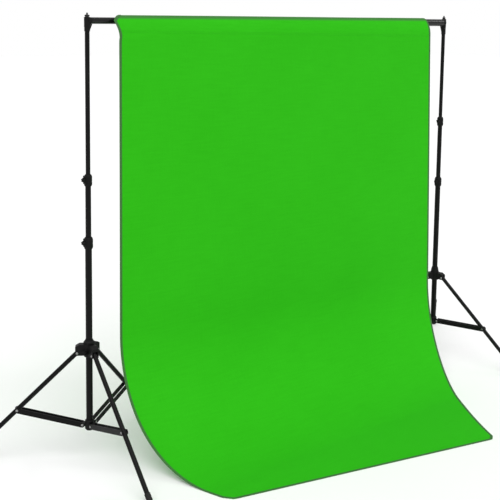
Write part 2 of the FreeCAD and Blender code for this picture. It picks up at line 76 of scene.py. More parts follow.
JOINTS = {joint["name"]: joint for joint in frame["joints"]}
LENGTHS = "Lengths"
FULL_TURN = 2 * math.pi
UP = Vector((0, 0, 1))


class Side(Enum):
    """The two stands."""

    LEFT = "left"
    RIGHT = "right"


class Stage(Enum):
    """The two clamped joints of a column: the tube that carries each and the tube it grips."""

    LOWER = ("lower", "lower_tube", "middle_tube", "base")
    UPPER = ("upper", "middle_tube", "top_tube", "middle")

    @property
    def label(self) -> str:
        """Name of the stage in node names."""
        return self.value[0]

    @property
    def outer(self) -> str:
        """Tube that carries the housing."""
        return self.value[1]

    @property
    def slider(self) -> str:
        """Tube that slides through the housing."""
        return self.value[2]

    @property
    def body(self) -> str:
        """Moving body that the housing belongs to."""
        return self.value[3]


# ---------------------------------------------------------------- measuring the frame


def tube_radius(node: str) -> float:
    """Radius of an upright tube, from its box."""
    low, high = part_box(node)
    return (high.x - low.x) / 2


def pole_centre(side: Side) -> Vector:
    """Point on the floor on the axis of a stand's column."""
    low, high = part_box(f"{side.value}_lower_tube")
    return Vector(((low.x + high.x) / 2, (low.y + high.y) / 2, 0.0))


def vertices_of(node: str) -> np.ndarray:
    """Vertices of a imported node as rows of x, y and z."""
    mesh = frame["nodes"][node].data
    points = np.empty(len(mesh.vertices) * 3, np.float32)
    mesh.vertices.foreach_get("co", points)
    return points.reshape(-1, 3).astype(float)


def reach_along(node: str, origin: Vector, axis: Vector) -> tuple[float, float]:
    """How far a node reaches along an axis.

    Args:
        node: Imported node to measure.
        origin: Point that the distances start from.
        axis: Unit direction.

    Returns:
        The least and the greatest distance of the node's vertices along the axis.
    """
    distances = (vertices_of(node) - np.array(origin)) @ np.array(axis)
    return float(distances.min()), float(distances.max())


def long_axis(node: str, start: Vector) -> tuple[Vector, Vector]:
    """Centre line of a long straight piece.

    Args:
        node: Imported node, such as a leg.
        start: Point near the end that the direction leads away from.

    Returns:
        A point on the line and its unit direction away from start.
    """
    points = vertices_of(node)
    middle = points.mean(0)
    direction = np.linalg.svd(points - middle, full_matrices=False)[2][0]
    if (middle - np.array(start)) @ direction < 0:
        direction = -direction
    return Vector(middle), Vector(direction)


# ---------------------------------------------------------------- shaping


def turned(profile: list[tuple[float, float]], steps: int = 48) -> Mesh:
    """Closed shape spun round Z from an outline.

    Args:
        profile: Closed outline as (radius, height) points, or an open one whose two ends
            lie on the axis.
        steps: Divisions of the full turn.

    Returns:
        A new mesh with its normals outward.
    """
    shape = bmesh.new()
    verts = [shape.verts.new((radius, 0.0, height)) for radius, height in profile]
    edges = [shape.edges.new(pair) for pair in zip(verts, verts[1:])]
    if min(profile[0][0], profile[-1][0]) > 1e-7:
        edges.append(shape.edges.new((verts[-1], verts[0])))
    bmesh.ops.spin(shape, geom=verts + edges, cent=(0, 0, 0), axis=(0, 0, 1),
                   angle=FULL_TURN, steps=steps, use_merge=True)
    bmesh.ops.remove_doubles(shape, verts=shape.verts[:], dist=1e-6)
    bmesh.ops.dissolve_degenerate(shape, edges=shape.edges[:], dist=1e-7)
    bmesh.ops.recalc_face_normals(shape, faces=shape.faces[:])
    return shape


def softened(shape: Mesh, width: float, segments: int = 2, angle: float = 28.0) -> Mesh:
    """Rounds every edge of a shape that is sharper than an angle.

    Args:
        shape: Mesh to round, changed in place.
        width: Width of the rounding in metres.
        segments: Steps across the rounding.
        angle: Least angle between two faces, in degrees, that counts as an edge.

    Returns:
        The same mesh.
    """
    limit = math.radians(angle)
    sharp = [e for e in shape.edges if e.is_manifold and e.calc_face_angle(0.0) > limit]
    bmesh.ops.bevel(shape, geom=sharp, offset=width, offset_type="OFFSET", segments=segments,
                    profile=0.5, affect="EDGES", material=-1, clamp_overlap=True)
    return shape


def block(size: tuple[float, float, float], centre: tuple[float, float, float]) -> Mesh:
    """Box of a size about a centre."""
    shape = bmesh.new()
    bmesh.ops.create_cube(shape, size=1.0)
    bmesh.ops.scale(shape, vec=size, verts=shape.verts[:])
    bmesh.ops.translate(shape, vec=centre, verts=shape.verts[:])
    return shape


def placed(shape: Mesh, matrix: Matrix) -> Mesh:
    """The shape moved by a matrix, in place."""
    bmesh.ops.transform(shape, matrix=matrix, verts=shape.verts[:])
    return shape


def gathered(shapes: list[Mesh]) -> Mesh:
    """Several closed shapes as one mesh.

    Args:
        shapes: Meshes to put together; each is freed.

    Returns:
        One mesh that holds them all.
    """
    whole = bmesh.new()
    for shape in shapes:
        carrier = bpy.data.meshes.new("carrier")
        shape.to_mesh(carrier)
        shape.free()
        whole.from_mesh(carrier)
        bpy.data.meshes.remove(carrier)
    return whole


def axis_frame(origin: Vector, axis: Vector, upward: Vector = UP) -> Matrix:
    """Matrix that takes +Z to an axis and +Y near to a given direction.

    Args:
        origin: Where the local origin goes.
        axis: Direction that local +Z takes.
        upward: Direction that local +Y leans to.

    Returns:
        A 4 by 4 matrix.
    """
    along = axis.normalized()
    lean = upward - along * upward.dot(along)
    if lean.length < 1e-4:
        lean = Vector((0, 1, 0)) - along * along.y
    lean.normalize()
    across = lean.cross(along)
    turn = Matrix((across, lean, along)).transposed().to_4x4()
    return Matrix.Translation(origin) @ turn


def finished(name: str, shape: Mesh, material: bpy.types.Material, body: str,
             smooth_angle: float = 35.0) -> Piece:
    """Turns a shape into a piece that rides on a body.

    Args:
        name: Name of the piece.
        shape: Its mesh in the row frame; it is freed.
        material: Its finish.
        body: Body that it moves with.
        smooth_angle: Faces that meet at less than this many degrees are shaded smooth.

    Returns:
        The new object.
    """
    mesh = bpy.data.meshes.new(name)
    shape.to_mesh(mesh)
    shape.free()
    mesh.polygons.foreach_set("use_smooth", [True] * len(mesh.polygons))
    mesh.set_sharp_from_angle(angle=math.radians(smooth_angle))
    mesh.materials.append(material)
    piece = bpy.data.objects.new(name, mesh)
    bpy.context.scene.collection.objects.link(piece)
    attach(piece, body)
    log.info("%s: %d faces on %s", name, len(mesh.polygons), body)
    return piece


# ---------------------------------------------------------------- shader groups


def add_node(tree: Tree, kind: str, values: dict | None = None, **settings) -> Node:
    """Adds a node to a tree.

    Args:
        tree: Node tree of a material or a group.
        kind: Blender's name of the node type.
        values: Input socket names or numbers, each with its value or the output that feeds it.
        settings: Properties of the node itself.

    Returns:
        The new node.
    """
    node = tree.nodes.new(kind)
    for key, value in settings.items():
        setattr(node, key, value)
    for key, value in (values or {}).items():
        if isinstance(value, Socket):
            tree.links.new(value, node.inputs[key])
        else:
            node.inputs[key].default_value = value
    return node


def combine(tree: Tree, operation: str, *operands) -> Socket:
    """Result of a Math node on numbers or sockets."""
    return add_node(tree, "ShaderNodeMath", dict(enumerate(operands)), operation=operation).outputs[0]


def noise(tree: Tree, vector: Socket, scale: float | Socket, detail: float, roughness: float = 0.5) -> Socket:
    """Value of a Noise texture."""
    values = {"Vector": vector, "Scale": scale, "Detail": detail, "Roughness": roughness}
    return add_node(tree, "ShaderNodeTexNoise", values).outputs[0]


@dataclass(frozen=True)
class EffectGroup:
    """A shader node group that several finishes share.

    Attributes:
        name: Name of the group.
        inputs: Input sockets as (name, socket type, default).
        outputs: Output sockets as (name, socket type).
    """

    name: str
    inputs: tuple[tuple[str, str, float | None], ...]
    outputs: tuple[tuple[str, str], ...]

    def tree(self) -> Tree:
        """The group's node tree, made when it is first asked for."""
        found = bpy.data.node_groups.get(self.name)
        if found:
            return found
        tree = bpy.data.node_groups.new(self.name, "ShaderNodeTree")
        for name, kind, default in self.inputs:
            socket = tree.interface.new_socket(name, in_out="INPUT", socket_type=kind)
            if default is not None:
                socket.default_value = default
        for name, kind in self.outputs:
            tree.interface.new_socket(name, in_out="OUTPUT", socket_type=kind)
        taken = tree.nodes.new("NodeGroupInput").outputs
        given = tree.nodes.new("NodeGroupOutput").inputs
        for name, socket in self.wire(tree, taken).items():
            tree.links.new(socket, given[name])
        return tree

    def wire(self, tree: Tree, taken: Outputs) -> dict[str, Socket]:
        """Builds the group's nodes and returns the socket for each output."""
        raise NotImplementedError

    def place(self, tree: Tree, values: dict) -> Node:
        """Puts the group into a material with its own values."""
        return add_node(tree, "ShaderNodeGroup", values, node_tree=self.tree())


VECTOR = "NodeSocketVector"
FLOAT = "NodeSocketFloat"


@dataclass(frozen=True)
class SurfaceGrain(EffectGroup):
    """Fine texture of paint or moulded plastic, with slow variation over the piece."""

    name: str = "surface_grain"
    inputs: tuple = (("Vector", VECTOR, None), ("Scale", FLOAT, 900.0), ("Pits", FLOAT, 0.4))
    outputs: tuple = (("Height", FLOAT), ("Variation", FLOAT))

    def wire(self, tree: Tree, taken: Outputs) -> dict[str, Socket]:
        """Noise for the rolling of the surface and cells for its pits."""
        fine = noise(tree, taken["Vector"], taken["Scale"], 2.0, 0.55)
        wider = combine(tree, "MULTIPLY", taken["Scale"], 0.7)
        cells = add_node(tree, "ShaderNodeTexVoronoi", {"Vector": taken["Vector"], "Scale": wider})
        pitted = combine(tree, "MULTIPLY", cells.outputs["Distance"], taken["Pits"])
        height = combine(tree, "ADD", fine, pitted)
        return {"Height": height, "Variation": noise(tree, taken["Vector"], 14.0, 4.0)}


@dataclass(frozen=True)
class RubbedEdges(EffectGroup):
    """Where handling has rubbed the finish off the outer edges."""

    name: str = "rubbed_edges"
    inputs: tuple = (("Vector", VECTOR, None), ("Reach", FLOAT, 0.0006), ("Amount", FLOAT, 0.5))
    outputs: tuple = (("Mask", FLOAT),)

    def wire(self, tree: Tree, taken: Outputs) -> dict[str, Socket]:
        """The rounded normal leaves the true one near an edge, and noise breaks it up."""
        rounded = add_node(tree, "ShaderNodeBevel", {"Radius": taken["Reach"]}, samples=4)
        true_normal = add_node(tree, "ShaderNodeNewGeometry").outputs["Normal"]
        agreement = add_node(tree, "ShaderNodeVectorMath", {0: rounded.outputs[0], 1: true_normal},
                             operation="DOT_PRODUCT").outputs["Value"]
        edge = add_node(tree, "ShaderNodeMapRange",
                        {"Value": agreement, "From Min": 0.985, "From Max": 0.86})
        patches = noise(tree, taken["Vector"], 160.0, 5.0)
        broken = add_node(tree, "ShaderNodeMapRange",
                          {"Value": patches, "From Min": 0.47, "From Max": 0.66})
        mask = combine(tree, "MULTIPLY", edge.outputs[0], broken.outputs[0])
        return {"Mask": combine(tree, "MULTIPLY", mask, taken["Amount"])}


@dataclass(frozen=True)
class SettledDust(EffectGroup):
    """Dust that lies on faces that look upward."""

    name: str = "settled_dust"
    inputs: tuple = (("Vector", VECTOR, None), ("Amount", FLOAT, 0.2), ("Scale", FLOAT, 60.0))
    outputs: tuple = (("Mask", FLOAT),)

    def wire(self, tree: Tree, taken: Outputs) -> dict[str, Socket]:
        """Upward slope of the surface times patchy noise."""
        normal = add_node(tree, "ShaderNodeNewGeometry").outputs["Normal"]
        upward = add_node(tree, "ShaderNodeSeparateXYZ", {0: normal}).outputs["Z"]
        slope = add_node(tree, "ShaderNodeMapRange", {"Value": upward, "From Min": 0.35, "From Max": 1.0})
        patches = noise(tree, taken["Vector"], taken["Scale"], 6.0, 0.6)
        mask = combine(tree, "MULTIPLY", slope.outputs[0], patches)
        return {"Mask": combine(tree, "MULTIPLY", mask, taken["Amount"])}


@dataclass(frozen=True)
class PlainWeave(EffectGroup):
    """Over and under weave, with the unevenness of spun thread."""

    name: str = "plain_weave"
    inputs: tuple = (("Vector", VECTOR, None), ("Threads", FLOAT, 1100.0))
    outputs: tuple = (("Height", FLOAT), ("Tone", FLOAT), ("Slub", FLOAT))

    def wire(self, tree: Tree, taken: Outputs) -> dict[str, Socket]:
        """Two sets of rounded threads that take turns on top."""
        counted = add_node(tree, "ShaderNodeVectorMath", {0: taken["Vector"], "Scale": taken["Threads"]},
                           operation="SCALE").outputs[0]
        parts = add_node(tree, "ShaderNodeSeparateXYZ", {0: counted}).outputs
        waves = [combine(tree, "SINE", combine(tree, "MULTIPLY", parts[k], math.pi)) for k in (0, 1)]
        rounds = [combine(tree, "ABSOLUTE", wave) for wave in waves]
        whole = [combine(tree, "FLOOR", parts[k]) for k in (0, 1)]
        parity = combine(tree, "FLOORED_MODULO", combine(tree, "ADD", *whole), 2.0)
        height = add_node(tree, "ShaderNodeMix", {0: parity, 2: rounds[0], 3: rounds[1]}).outputs[0]
        tones = []
        for stretch in ((1.0, 0.02, 1.0), (0.02, 1.0, 1.0)):
            run = add_node(tree, "ShaderNodeVectorMath", {0: counted, 1: stretch}, operation="MULTIPLY")
            tones.append(noise(tree, run.outputs[0], 0.45, 1.0))
        tone = add_node(tree, "ShaderNodeMix", {0: parity, 2: tones[0], 3: tones[1]}).outputs[0]
        drawn = add_node(tree, "ShaderNodeMapping", {"Vector": taken["Vector"], "Scale": (9.0, 120.0, 1.0)})
        return {"Height": height, "Tone": tone, "Slub": noise(tree, drawn.outputs[0], 1.0, 3.0)}


# ---------------------------------------------------------------- finishes


@dataclass(frozen=True)
class Finish:
    """A material with a base colour and a roughness.

    Attributes:
        name: Name of the material.
        colour: Linear base colour.
        roughness: Middle of its roughness.
    """

    name: str
    colour: Colour
    roughness: float

    def material(self) -> bpy.types.Material:
        """The material, built when it is first asked for."""
        found = bpy.data.materials.get(self.name)
        if found:
            return found
        material = bpy.data.materials.new(self.name)
        material.use_nodes = True
        material.diffuse_color = (*self.colour, 1.0)
        tree = material.node_tree
        tree.nodes.clear()
        shader = tree.nodes.new("ShaderNodeBsdfPrincipled")
        output = tree.nodes.new("ShaderNodeOutputMaterial")
        tree.links.new(shader.outputs[0], output.inputs["Surface"])
        shader.inputs["Base Color"].default_value = (*self.colour, 1.0)
        shader.inputs["Roughness"].default_value = self.roughness
        self.wire(tree, shader)
        return material

    def wire(self, tree: Tree, shader: Node) -> None:
        """Adds what varies over the surface."""
        raise NotImplementedError

    @staticmethod
    def mixed(tree: Tree, share, first, second) -> Socket:
        """Colour between two by a share, each a colour or a socket."""
        first, second = ((*c, 1.0) if isinstance(c, tuple) else c for c in (first, second))
        return add_node(tree, "ShaderNodeMix", {0: share, 6: first, 7: second}, data_type="RGBA").outputs[2]

    @staticmethod
    def feed(tree: Tree, shader: Node, colour: Socket, roughness: Socket,
             specular: float | None = None) -> None:
        """Feeds the base colour and roughness, and sets the specular level where one is given."""
        tree.links.new(colour, shader.inputs["Base Color"])
        tree.links.new(roughness, shader.inputs["Roughness"])
        if specular is not None:
            shader.inputs["Specular IOR Level"].default_value = specular

    @staticmethod
    def relief(tree: Tree, shader: Node, height: Socket, depth: float, strength: float = 1.0) -> None:
        """Bumps the surface by a height of a depth in metres."""
        values = {"Height": height, "Distance": depth, "Strength": strength}
        tree.links.new(add_node(tree, "ShaderNodeBump", values).outputs[0], shader.inputs["Normal"])

    @staticmethod
    def ranged(tree: Tree, value: Socket, low: float, high: float,
               source: tuple[float, float] = (0.3, 0.7)) -> Socket:
        """A number moved from one range to another."""
        return add_node(tree, "ShaderNodeMapRange",
                        {"Value": value, "From Min": source[0], "From Max": source[1],
                         "To Min": low, "To Max": high}).outputs[0]


@dataclass(frozen=True)
class CoatedMetal(Finish):
    """Black powder coat on metal, with rubbed edges and faint dust.

    Attributes:
        grain: Bumps per metre of the coat's orange peel.
        bump: Depth of the orange peel in metres.
        wear: How far the edges are rubbed.
        bare: Colour of the metal under the coat.
        scuffed: True for tubes that slide through a clamp, which marks them lengthwise.
        gloss: Specular level of the coat.
    """

    grain: float = 1100.0
    bump: float = 0.00006
    wear: float = 0.35
    bare: Colour = (0.2, 0.2, 0.205)
    scuffed: bool = False
    gloss: float = 0.12

    def wire(self, tree: Tree, shader: Node) -> None:
        """Orange peel, slow colour variation, rubbed edges, scuffs and dust."""
        place = add_node(tree, "ShaderNodeTexCoord").outputs["Object"]
        peel = SurfaceGrain().place(tree, {"Vector": place, "Scale": self.grain, "Pits": 0.15})
        worn = RubbedEdges().place(tree, {"Vector": place, "Reach": 0.0007, "Amount": self.wear})
        dust = SettledDust().place(tree, {"Vector": place, "Amount": 0.04, "Scale": 45.0})
        lighter = tuple(c * 1.7 for c in self.colour)
        coat = self.mixed(tree, peel.outputs["Variation"], self.colour, lighter)
        rough = self.ranged(tree, peel.outputs["Variation"], self.roughness - 0.06, self.roughness + 0.08)
        if self.scuffed:
            stretched = add_node(tree, "ShaderNodeMapping",
                                 {"Vector": place, "Scale": (900.0, 900.0, 7.0)}).outputs[0]
            lines = noise(tree, stretched, 1.0, 2.0)
            marks = self.ranged(tree, lines, 0.0, 1.0, (0.62, 0.75))
            coat = self.mixed(tree, combine(tree, "MULTIPLY", marks, 0.5), coat, (0.035, 0.035, 0.036))
            rough = combine(tree, "ADD", rough, combine(tree, "MULTIPLY", marks, 0.10))
        coat = self.mixed(tree, worn.outputs["Mask"], coat, self.bare)
        coat = self.mixed(tree, dust.outputs["Mask"], coat, (0.22, 0.21, 0.20))
        rough = combine(tree, "ADD", rough, combine(tree, "MULTIPLY", dust.outputs["Mask"], 0.4))
        tree.links.new(worn.outputs["Mask"], shader.inputs["Metallic"])
        self.feed(tree, shader, coat, rough, self.gloss)
        self.relief(tree, shader, peel.outputs["Height"], self.bump)


@dataclass(frozen=True)
class MouldedPlastic(Finish):
    """Black plastic with the fine grain of its mould.

    Attributes:
        grain: Bumps per metre.
        bump: Depth of the grain in metres.
        shine: Colour of the plastic where hands have polished its edges.
    """

    grain: float = 1500.0
    bump: float = 0.00012
    shine: Colour = (0.045, 0.045, 0.047)

    def wire(self, tree: Tree, shader: Node) -> None:
        """Mould grain, polished edges and dust."""
        place = add_node(tree, "ShaderNodeTexCoord").outputs["Object"]
        skin = SurfaceGrain().place(tree, {"Vector": place, "Scale": self.grain, "Pits": 0.8})
        worn = RubbedEdges().place(tree, {"Vector": place, "Reach": 0.0009, "Amount": 0.7})
        dust = SettledDust().place(tree, {"Vector": place, "Amount": 0.06, "Scale": 70.0})
        lighter = tuple(c * 1.5 for c in self.colour)
        body = self.mixed(tree, skin.outputs["Variation"], self.colour, lighter)
        body = self.mixed(tree, worn.outputs["Mask"], body, self.shine)
        body = self.mixed(tree, dust.outputs["Mask"], body, (0.2, 0.195, 0.19))
        rough = self.ranged(tree, skin.outputs["Variation"], self.roughness - 0.05, self.roughness + 0.07)
        rough = combine(tree, "SUBTRACT", rough, combine(tree, "MULTIPLY", worn.outputs["Mask"], 0.15))
        self.feed(tree, shader, body, rough, 0.14)
        self.relief(tree, shader, skin.outputs["Height"], self.bump)


@dataclass(frozen=True)
class PlatedSteel(Finish):
    """Plated or blackened steel of rivets, screws, studs and nuts.

    Attributes:
        tarnish: Colour of the duller patches.
        spangle: Patches per metre.
    """

    tarnish: Colour = (0.20, 0.195, 0.185)
    spangle: float = 380.0

    def wire(self, tree: Tree, shader: Node) -> None:
        """Patchy tarnish and a slightly uneven plate."""
        place = add_node(tree, "ShaderNodeTexCoord").outputs["Object"]
        plate = SurfaceGrain().place(tree, {"Vector": place, "Scale": self.spangle, "Pits": 0.5})
        share = self.ranged(tree, plate.outputs["Height"], 0.0, 1.0, (0.45, 0.95))
        colour = self.mixed(tree, share, self.colour, self.tarnish)
        rough = self.ranged(tree, plate.outputs["Height"], self.roughness - 0.06, self.roughness + 0.14,
                            (0.4, 0.9))
        shader.inputs["Metallic"].default_value = 1.0
        self.feed(tree, shader, colour, rough)
        self.relief(tree, shader, plate.outputs["Height"], 0.00004)


@dataclass(frozen=True)
class BootRubber(Finish):
    """Matt black rubber that has picked up dust from the floor."""

    def wire(self, tree: Tree, shader: Node) -> None:
        """Speckled bloom on the rubber, with more dust near the floor."""
        place = add_node(tree, "ShaderNodeTexCoord").outputs["Object"]
        skin = SurfaceGrain().place(tree, {"Vector": place, "Scale": 700.0, "Pits": 0.6})
        dust = SettledDust().place(tree, {"Vector": place, "Amount": 0.25, "Scale": 90.0})
        height = add_node(tree, "ShaderNodeSeparateXYZ", {0: place}).outputs["Z"]
        near_floor = self.ranged(tree, height, 0.22, 0.0, (0.0, 0.014))
        grey = combine(tree, "MULTIPLY", combine(tree, "ADD", near_floor, dust.outputs["Mask"]),
                       skin.outputs["Variation"])
        colour = self.mixed(tree, grey, self.colour, (0.19, 0.18, 0.17))
        rough = self.ranged(tree, skin.outputs["Variation"], self.roughness - 0.08, self.roughness + 0.08)
        self.feed(tree, shader, colour, rough, 0.3)
        self.relief(tree, shader, skin.outputs["Height"], 0.0001)


@dataclass(frozen=True)
class BackdropWeave(Finish):
    """Matt plain-woven backdrop cloth.

    Attributes:
        threads: Threads per metre each way.
        deep: Colour between the threads, where shade is painted, and the darker end of the dye's uneven tone.
        pale: Colour on the crowns of the threads, where light is painted, and the paler end of the dye's uneven
            tone.
        tape: Where the band of painted shade over the top of the pocket starts and ends, as lengths from the seam.
        tape_colour: Colour of that painted shade.
    """

    threads: float = 1100.0
    deep: Colour = (0.021, 0.393, 0.005)
    pale: Colour = (0.032, 0.480, 0.010)
    tape: tuple[float, float] = (0.110, 0.144)
    tape_colour: Colour = (0.055, 0.175, 0.045)

    def wire(self, tree: Tree, shader: Node) -> None:
        """Weave from the cloth's own lengths, with slow shade changes of the dye, painted light on the thread
        crowns, painted shade between the threads and a band of painted shade over the top of the pocket.
        """
        lengths = add_node(tree, "ShaderNodeUVMap", uv_map=LENGTHS).outputs[0]
        weave = PlainWeave().place(tree, {"Vector": lengths, "Threads": self.threads})
        dye = noise(tree, lengths, 2.2, 3.0)
        # painted light on the thread crowns and painted shade in the hollows between them, mixed below with the
        # dye's uneven tone
        crown_light_share = self.ranged(tree, weave.outputs["Height"], 0.25, 0.75, (0.0, 1.0))
        uneven = self.ranged(tree, weave.outputs["Tone"], -0.18, 0.18)
        slubby = self.ranged(tree, weave.outputs["Slub"], -0.12, 0.12)
        share = combine(tree, "ADD", combine(tree, "ADD", crown_light_share, uneven), slubby)
        share = combine(tree, "ADD", share, self.ranged(tree, dye, -0.10, 0.10))
        colour = self.mixed(tree, share, self.deep, self.pale)
        run = add_node(tree, "ShaderNodeSeparateXYZ", {0: lengths}).outputs["Y"]
        # painted shade: a darker band across the cloth where it runs over the top of the bar
        first, last = self.tape
        top_shaded = combine(tree, "MULTIPLY", self.ranged(tree, run, 0.0, 0.9, (first, first + 0.002)),
                        self.ranged(tree, run, 1.0, 0.0, (last, last + 0.012)))
        colour = self.mixed(tree, top_shaded, colour, self.tape_colour)
        rough = self.ranged(tree, weave.outputs["Tone"], self.roughness - 0.05, self.roughness + 0.05)
        self.feed(tree, shader, colour, rough, 0.03)
        shader.inputs["Sheen Weight"].default_value = 0.015
        shader.inputs["Sheen Roughness"].default_value = 0.5
        slubs = combine(tree, "MULTIPLY", weave.outputs["Slub"], 0.8)
        height = combine(tree, "ADD", weave.outputs["Height"], slubs)
        self.relief(tree, shader, height, 0.00012, 0.8)


@dataclass(frozen=True)
class SewingThread(Finish):
    """Twisted thread of the overlocked edge and the seams.

    Attributes:
        pitch: Stitches per metre along the seam.
        shade: Painted shade in the hollows between the threads.
    """

    pitch: float = 420.0
    shade: Colour = (0.012, 0.035, 0.012)

    def wire(self, tree: Tree, shader: Node) -> None:
        """Slanting ridges that run round the bound edge, with painted shade in the hollows between them."""
        lengths = add_node(tree, "ShaderNodeUVMap", uv_map=LENGTHS).outputs[0]
        parts = add_node(tree, "ShaderNodeSeparateXYZ", {0: lengths}).outputs
        slant = combine(tree, "ADD", combine(tree, "MULTIPLY", parts[1], self.pitch), parts[0])
        wave = combine(tree, "SINE", combine(tree, "MULTIPLY", slant, FULL_TURN))
        ridge = self.ranged(tree, wave, 0.0, 1.0, (-1.0, 1.0))
        fuzz = noise(tree, lengths, 900.0, 2.0)
        share = combine(tree, "MULTIPLY", ridge, self.ranged(tree, fuzz, 0.6, 1.0))
        # painted shade: the hollows between the ridges take the darker colour
        colour = self.mixed(tree, share, self.shade, self.colour)
        rough = self.ranged(tree, fuzz, self.roughness - 0.06, self.roughness + 0.06)
        self.feed(tree, shader, colour, rough, 0.2)
        self.relief(tree, shader, ridge, 0.0004)


@dataclass(frozen=True)
class PaleFloor(Finish):
    """Plain matt studio floor."""

    def wire(self, tree: Tree, shader: Node) -> None:
        """Barely uneven white paint."""
        place = add_node(tree, "ShaderNodeTexCoord").outputs["Object"]
        slow = noise(tree, place, 1.5, 3.0)
        paler = tuple(min(1.0, c * 1.02) for c in self.colour)
        colour = self.mixed(tree, slow, self.colour, paler)
        rough = self.ranged(tree, slow, self.roughness - 0.04, self.roughness + 0.04)
        self.feed(tree, shader, colour, rough, 0.1)


COLUMN_COAT = CoatedMetal("column_satin_black", (0.0022, 0.0022, 0.0022), 0.36, scuffed=True)
LEG_COAT = CoatedMetal("leg_satin_black", (0.0022, 0.0022, 0.0023), 0.38)
BAR_COAT = CoatedMetal("bar_satin_black", (0.003, 0.003, 0.0031), 0.27, gloss=0.28)
STRIP_COAT = CoatedMetal("strip_satin_black", (0.0022, 0.0022, 0.0023), 0.42, wear=0.5)
HOUSING_PLASTIC = MouldedPlastic("housing_plastic_black", (0.003, 0.003, 0.0031), 0.5,
                                 shine=(0.02, 0.02, 0.021))
KNOB_PLASTIC = MouldedPlastic("knob_plastic_black", (0.0035, 0.0035, 0.0036), 0.45, grain=1900.0,
                              shine=(0.02, 0.02, 0.021))
GUIDE_PLASTIC = MouldedPlastic("guide_plastic_grey", (0.05, 0.05, 0.052), 0.42, bump=0.00005)
RIVET_ZINC = PlatedSteel("rivet_dull_zinc", (0.42, 0.42, 0.43), 0.36)
STUD_STEEL = PlatedSteel("stud_blackened_steel", (0.05, 0.05, 0.053), 0.34, tarnish=(0.028, 0.027, 0.026))
FOOT_RUBBER = BootRubber("foot_rubber_black", (0.009, 0.009, 0.009), 0.72)
CLOTH_WEAVE = BackdropWeave("backdrop_green_weave", (0.034, 0.503, 0.012), 0.86)
EDGE_THREAD = SewingThread("edge_thread_grey_green", (0.07, 0.215, 0.055), 0.8, shade=(0.035, 0.12, 0.03))
SEAM_THREAD = SewingThread("seam_thread_green", (0.03, 0.36, 0.015), 0.75, shade=(0.012, 0.2, 0.006))
FLOOR_PAINT = PaleFloor("studio_floor_white", (0.96, 0.96, 0.96), 0.8)

SLOT_FINISH = {
    "column_tube": COLUMN_COAT,
    "leg_tube": LEG_COAT,
    "bar_tube": BAR_COAT,
    "strip_metal": STRIP_COAT,
    "housing_plastic": HOUSING_PLASTIC,
    "knob_plastic": KNOB_PLASTIC,
    "guide_plastic": GUIDE_PLASTIC,
    "rivet_steel": RIVET_ZINC,
    "stud_metal": STUD_STEEL,
    "foot_rubber": FOOT_RUBBER,
    "cloth": CLOTH_WEAVE,
}


def dress_frame() -> None:
    """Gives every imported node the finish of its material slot."""
    for part in frame["record"]["subparts"]:
        node = frame["nodes"][part["node"]]
        material = SLOT_FINISH[part["material_slot"]].material()
        if not node.data.materials:
            node.data.materials.append(material)
        for place in node.material_slots:
            place.material = material


# ---------------------------------------------------------------- stand pieces


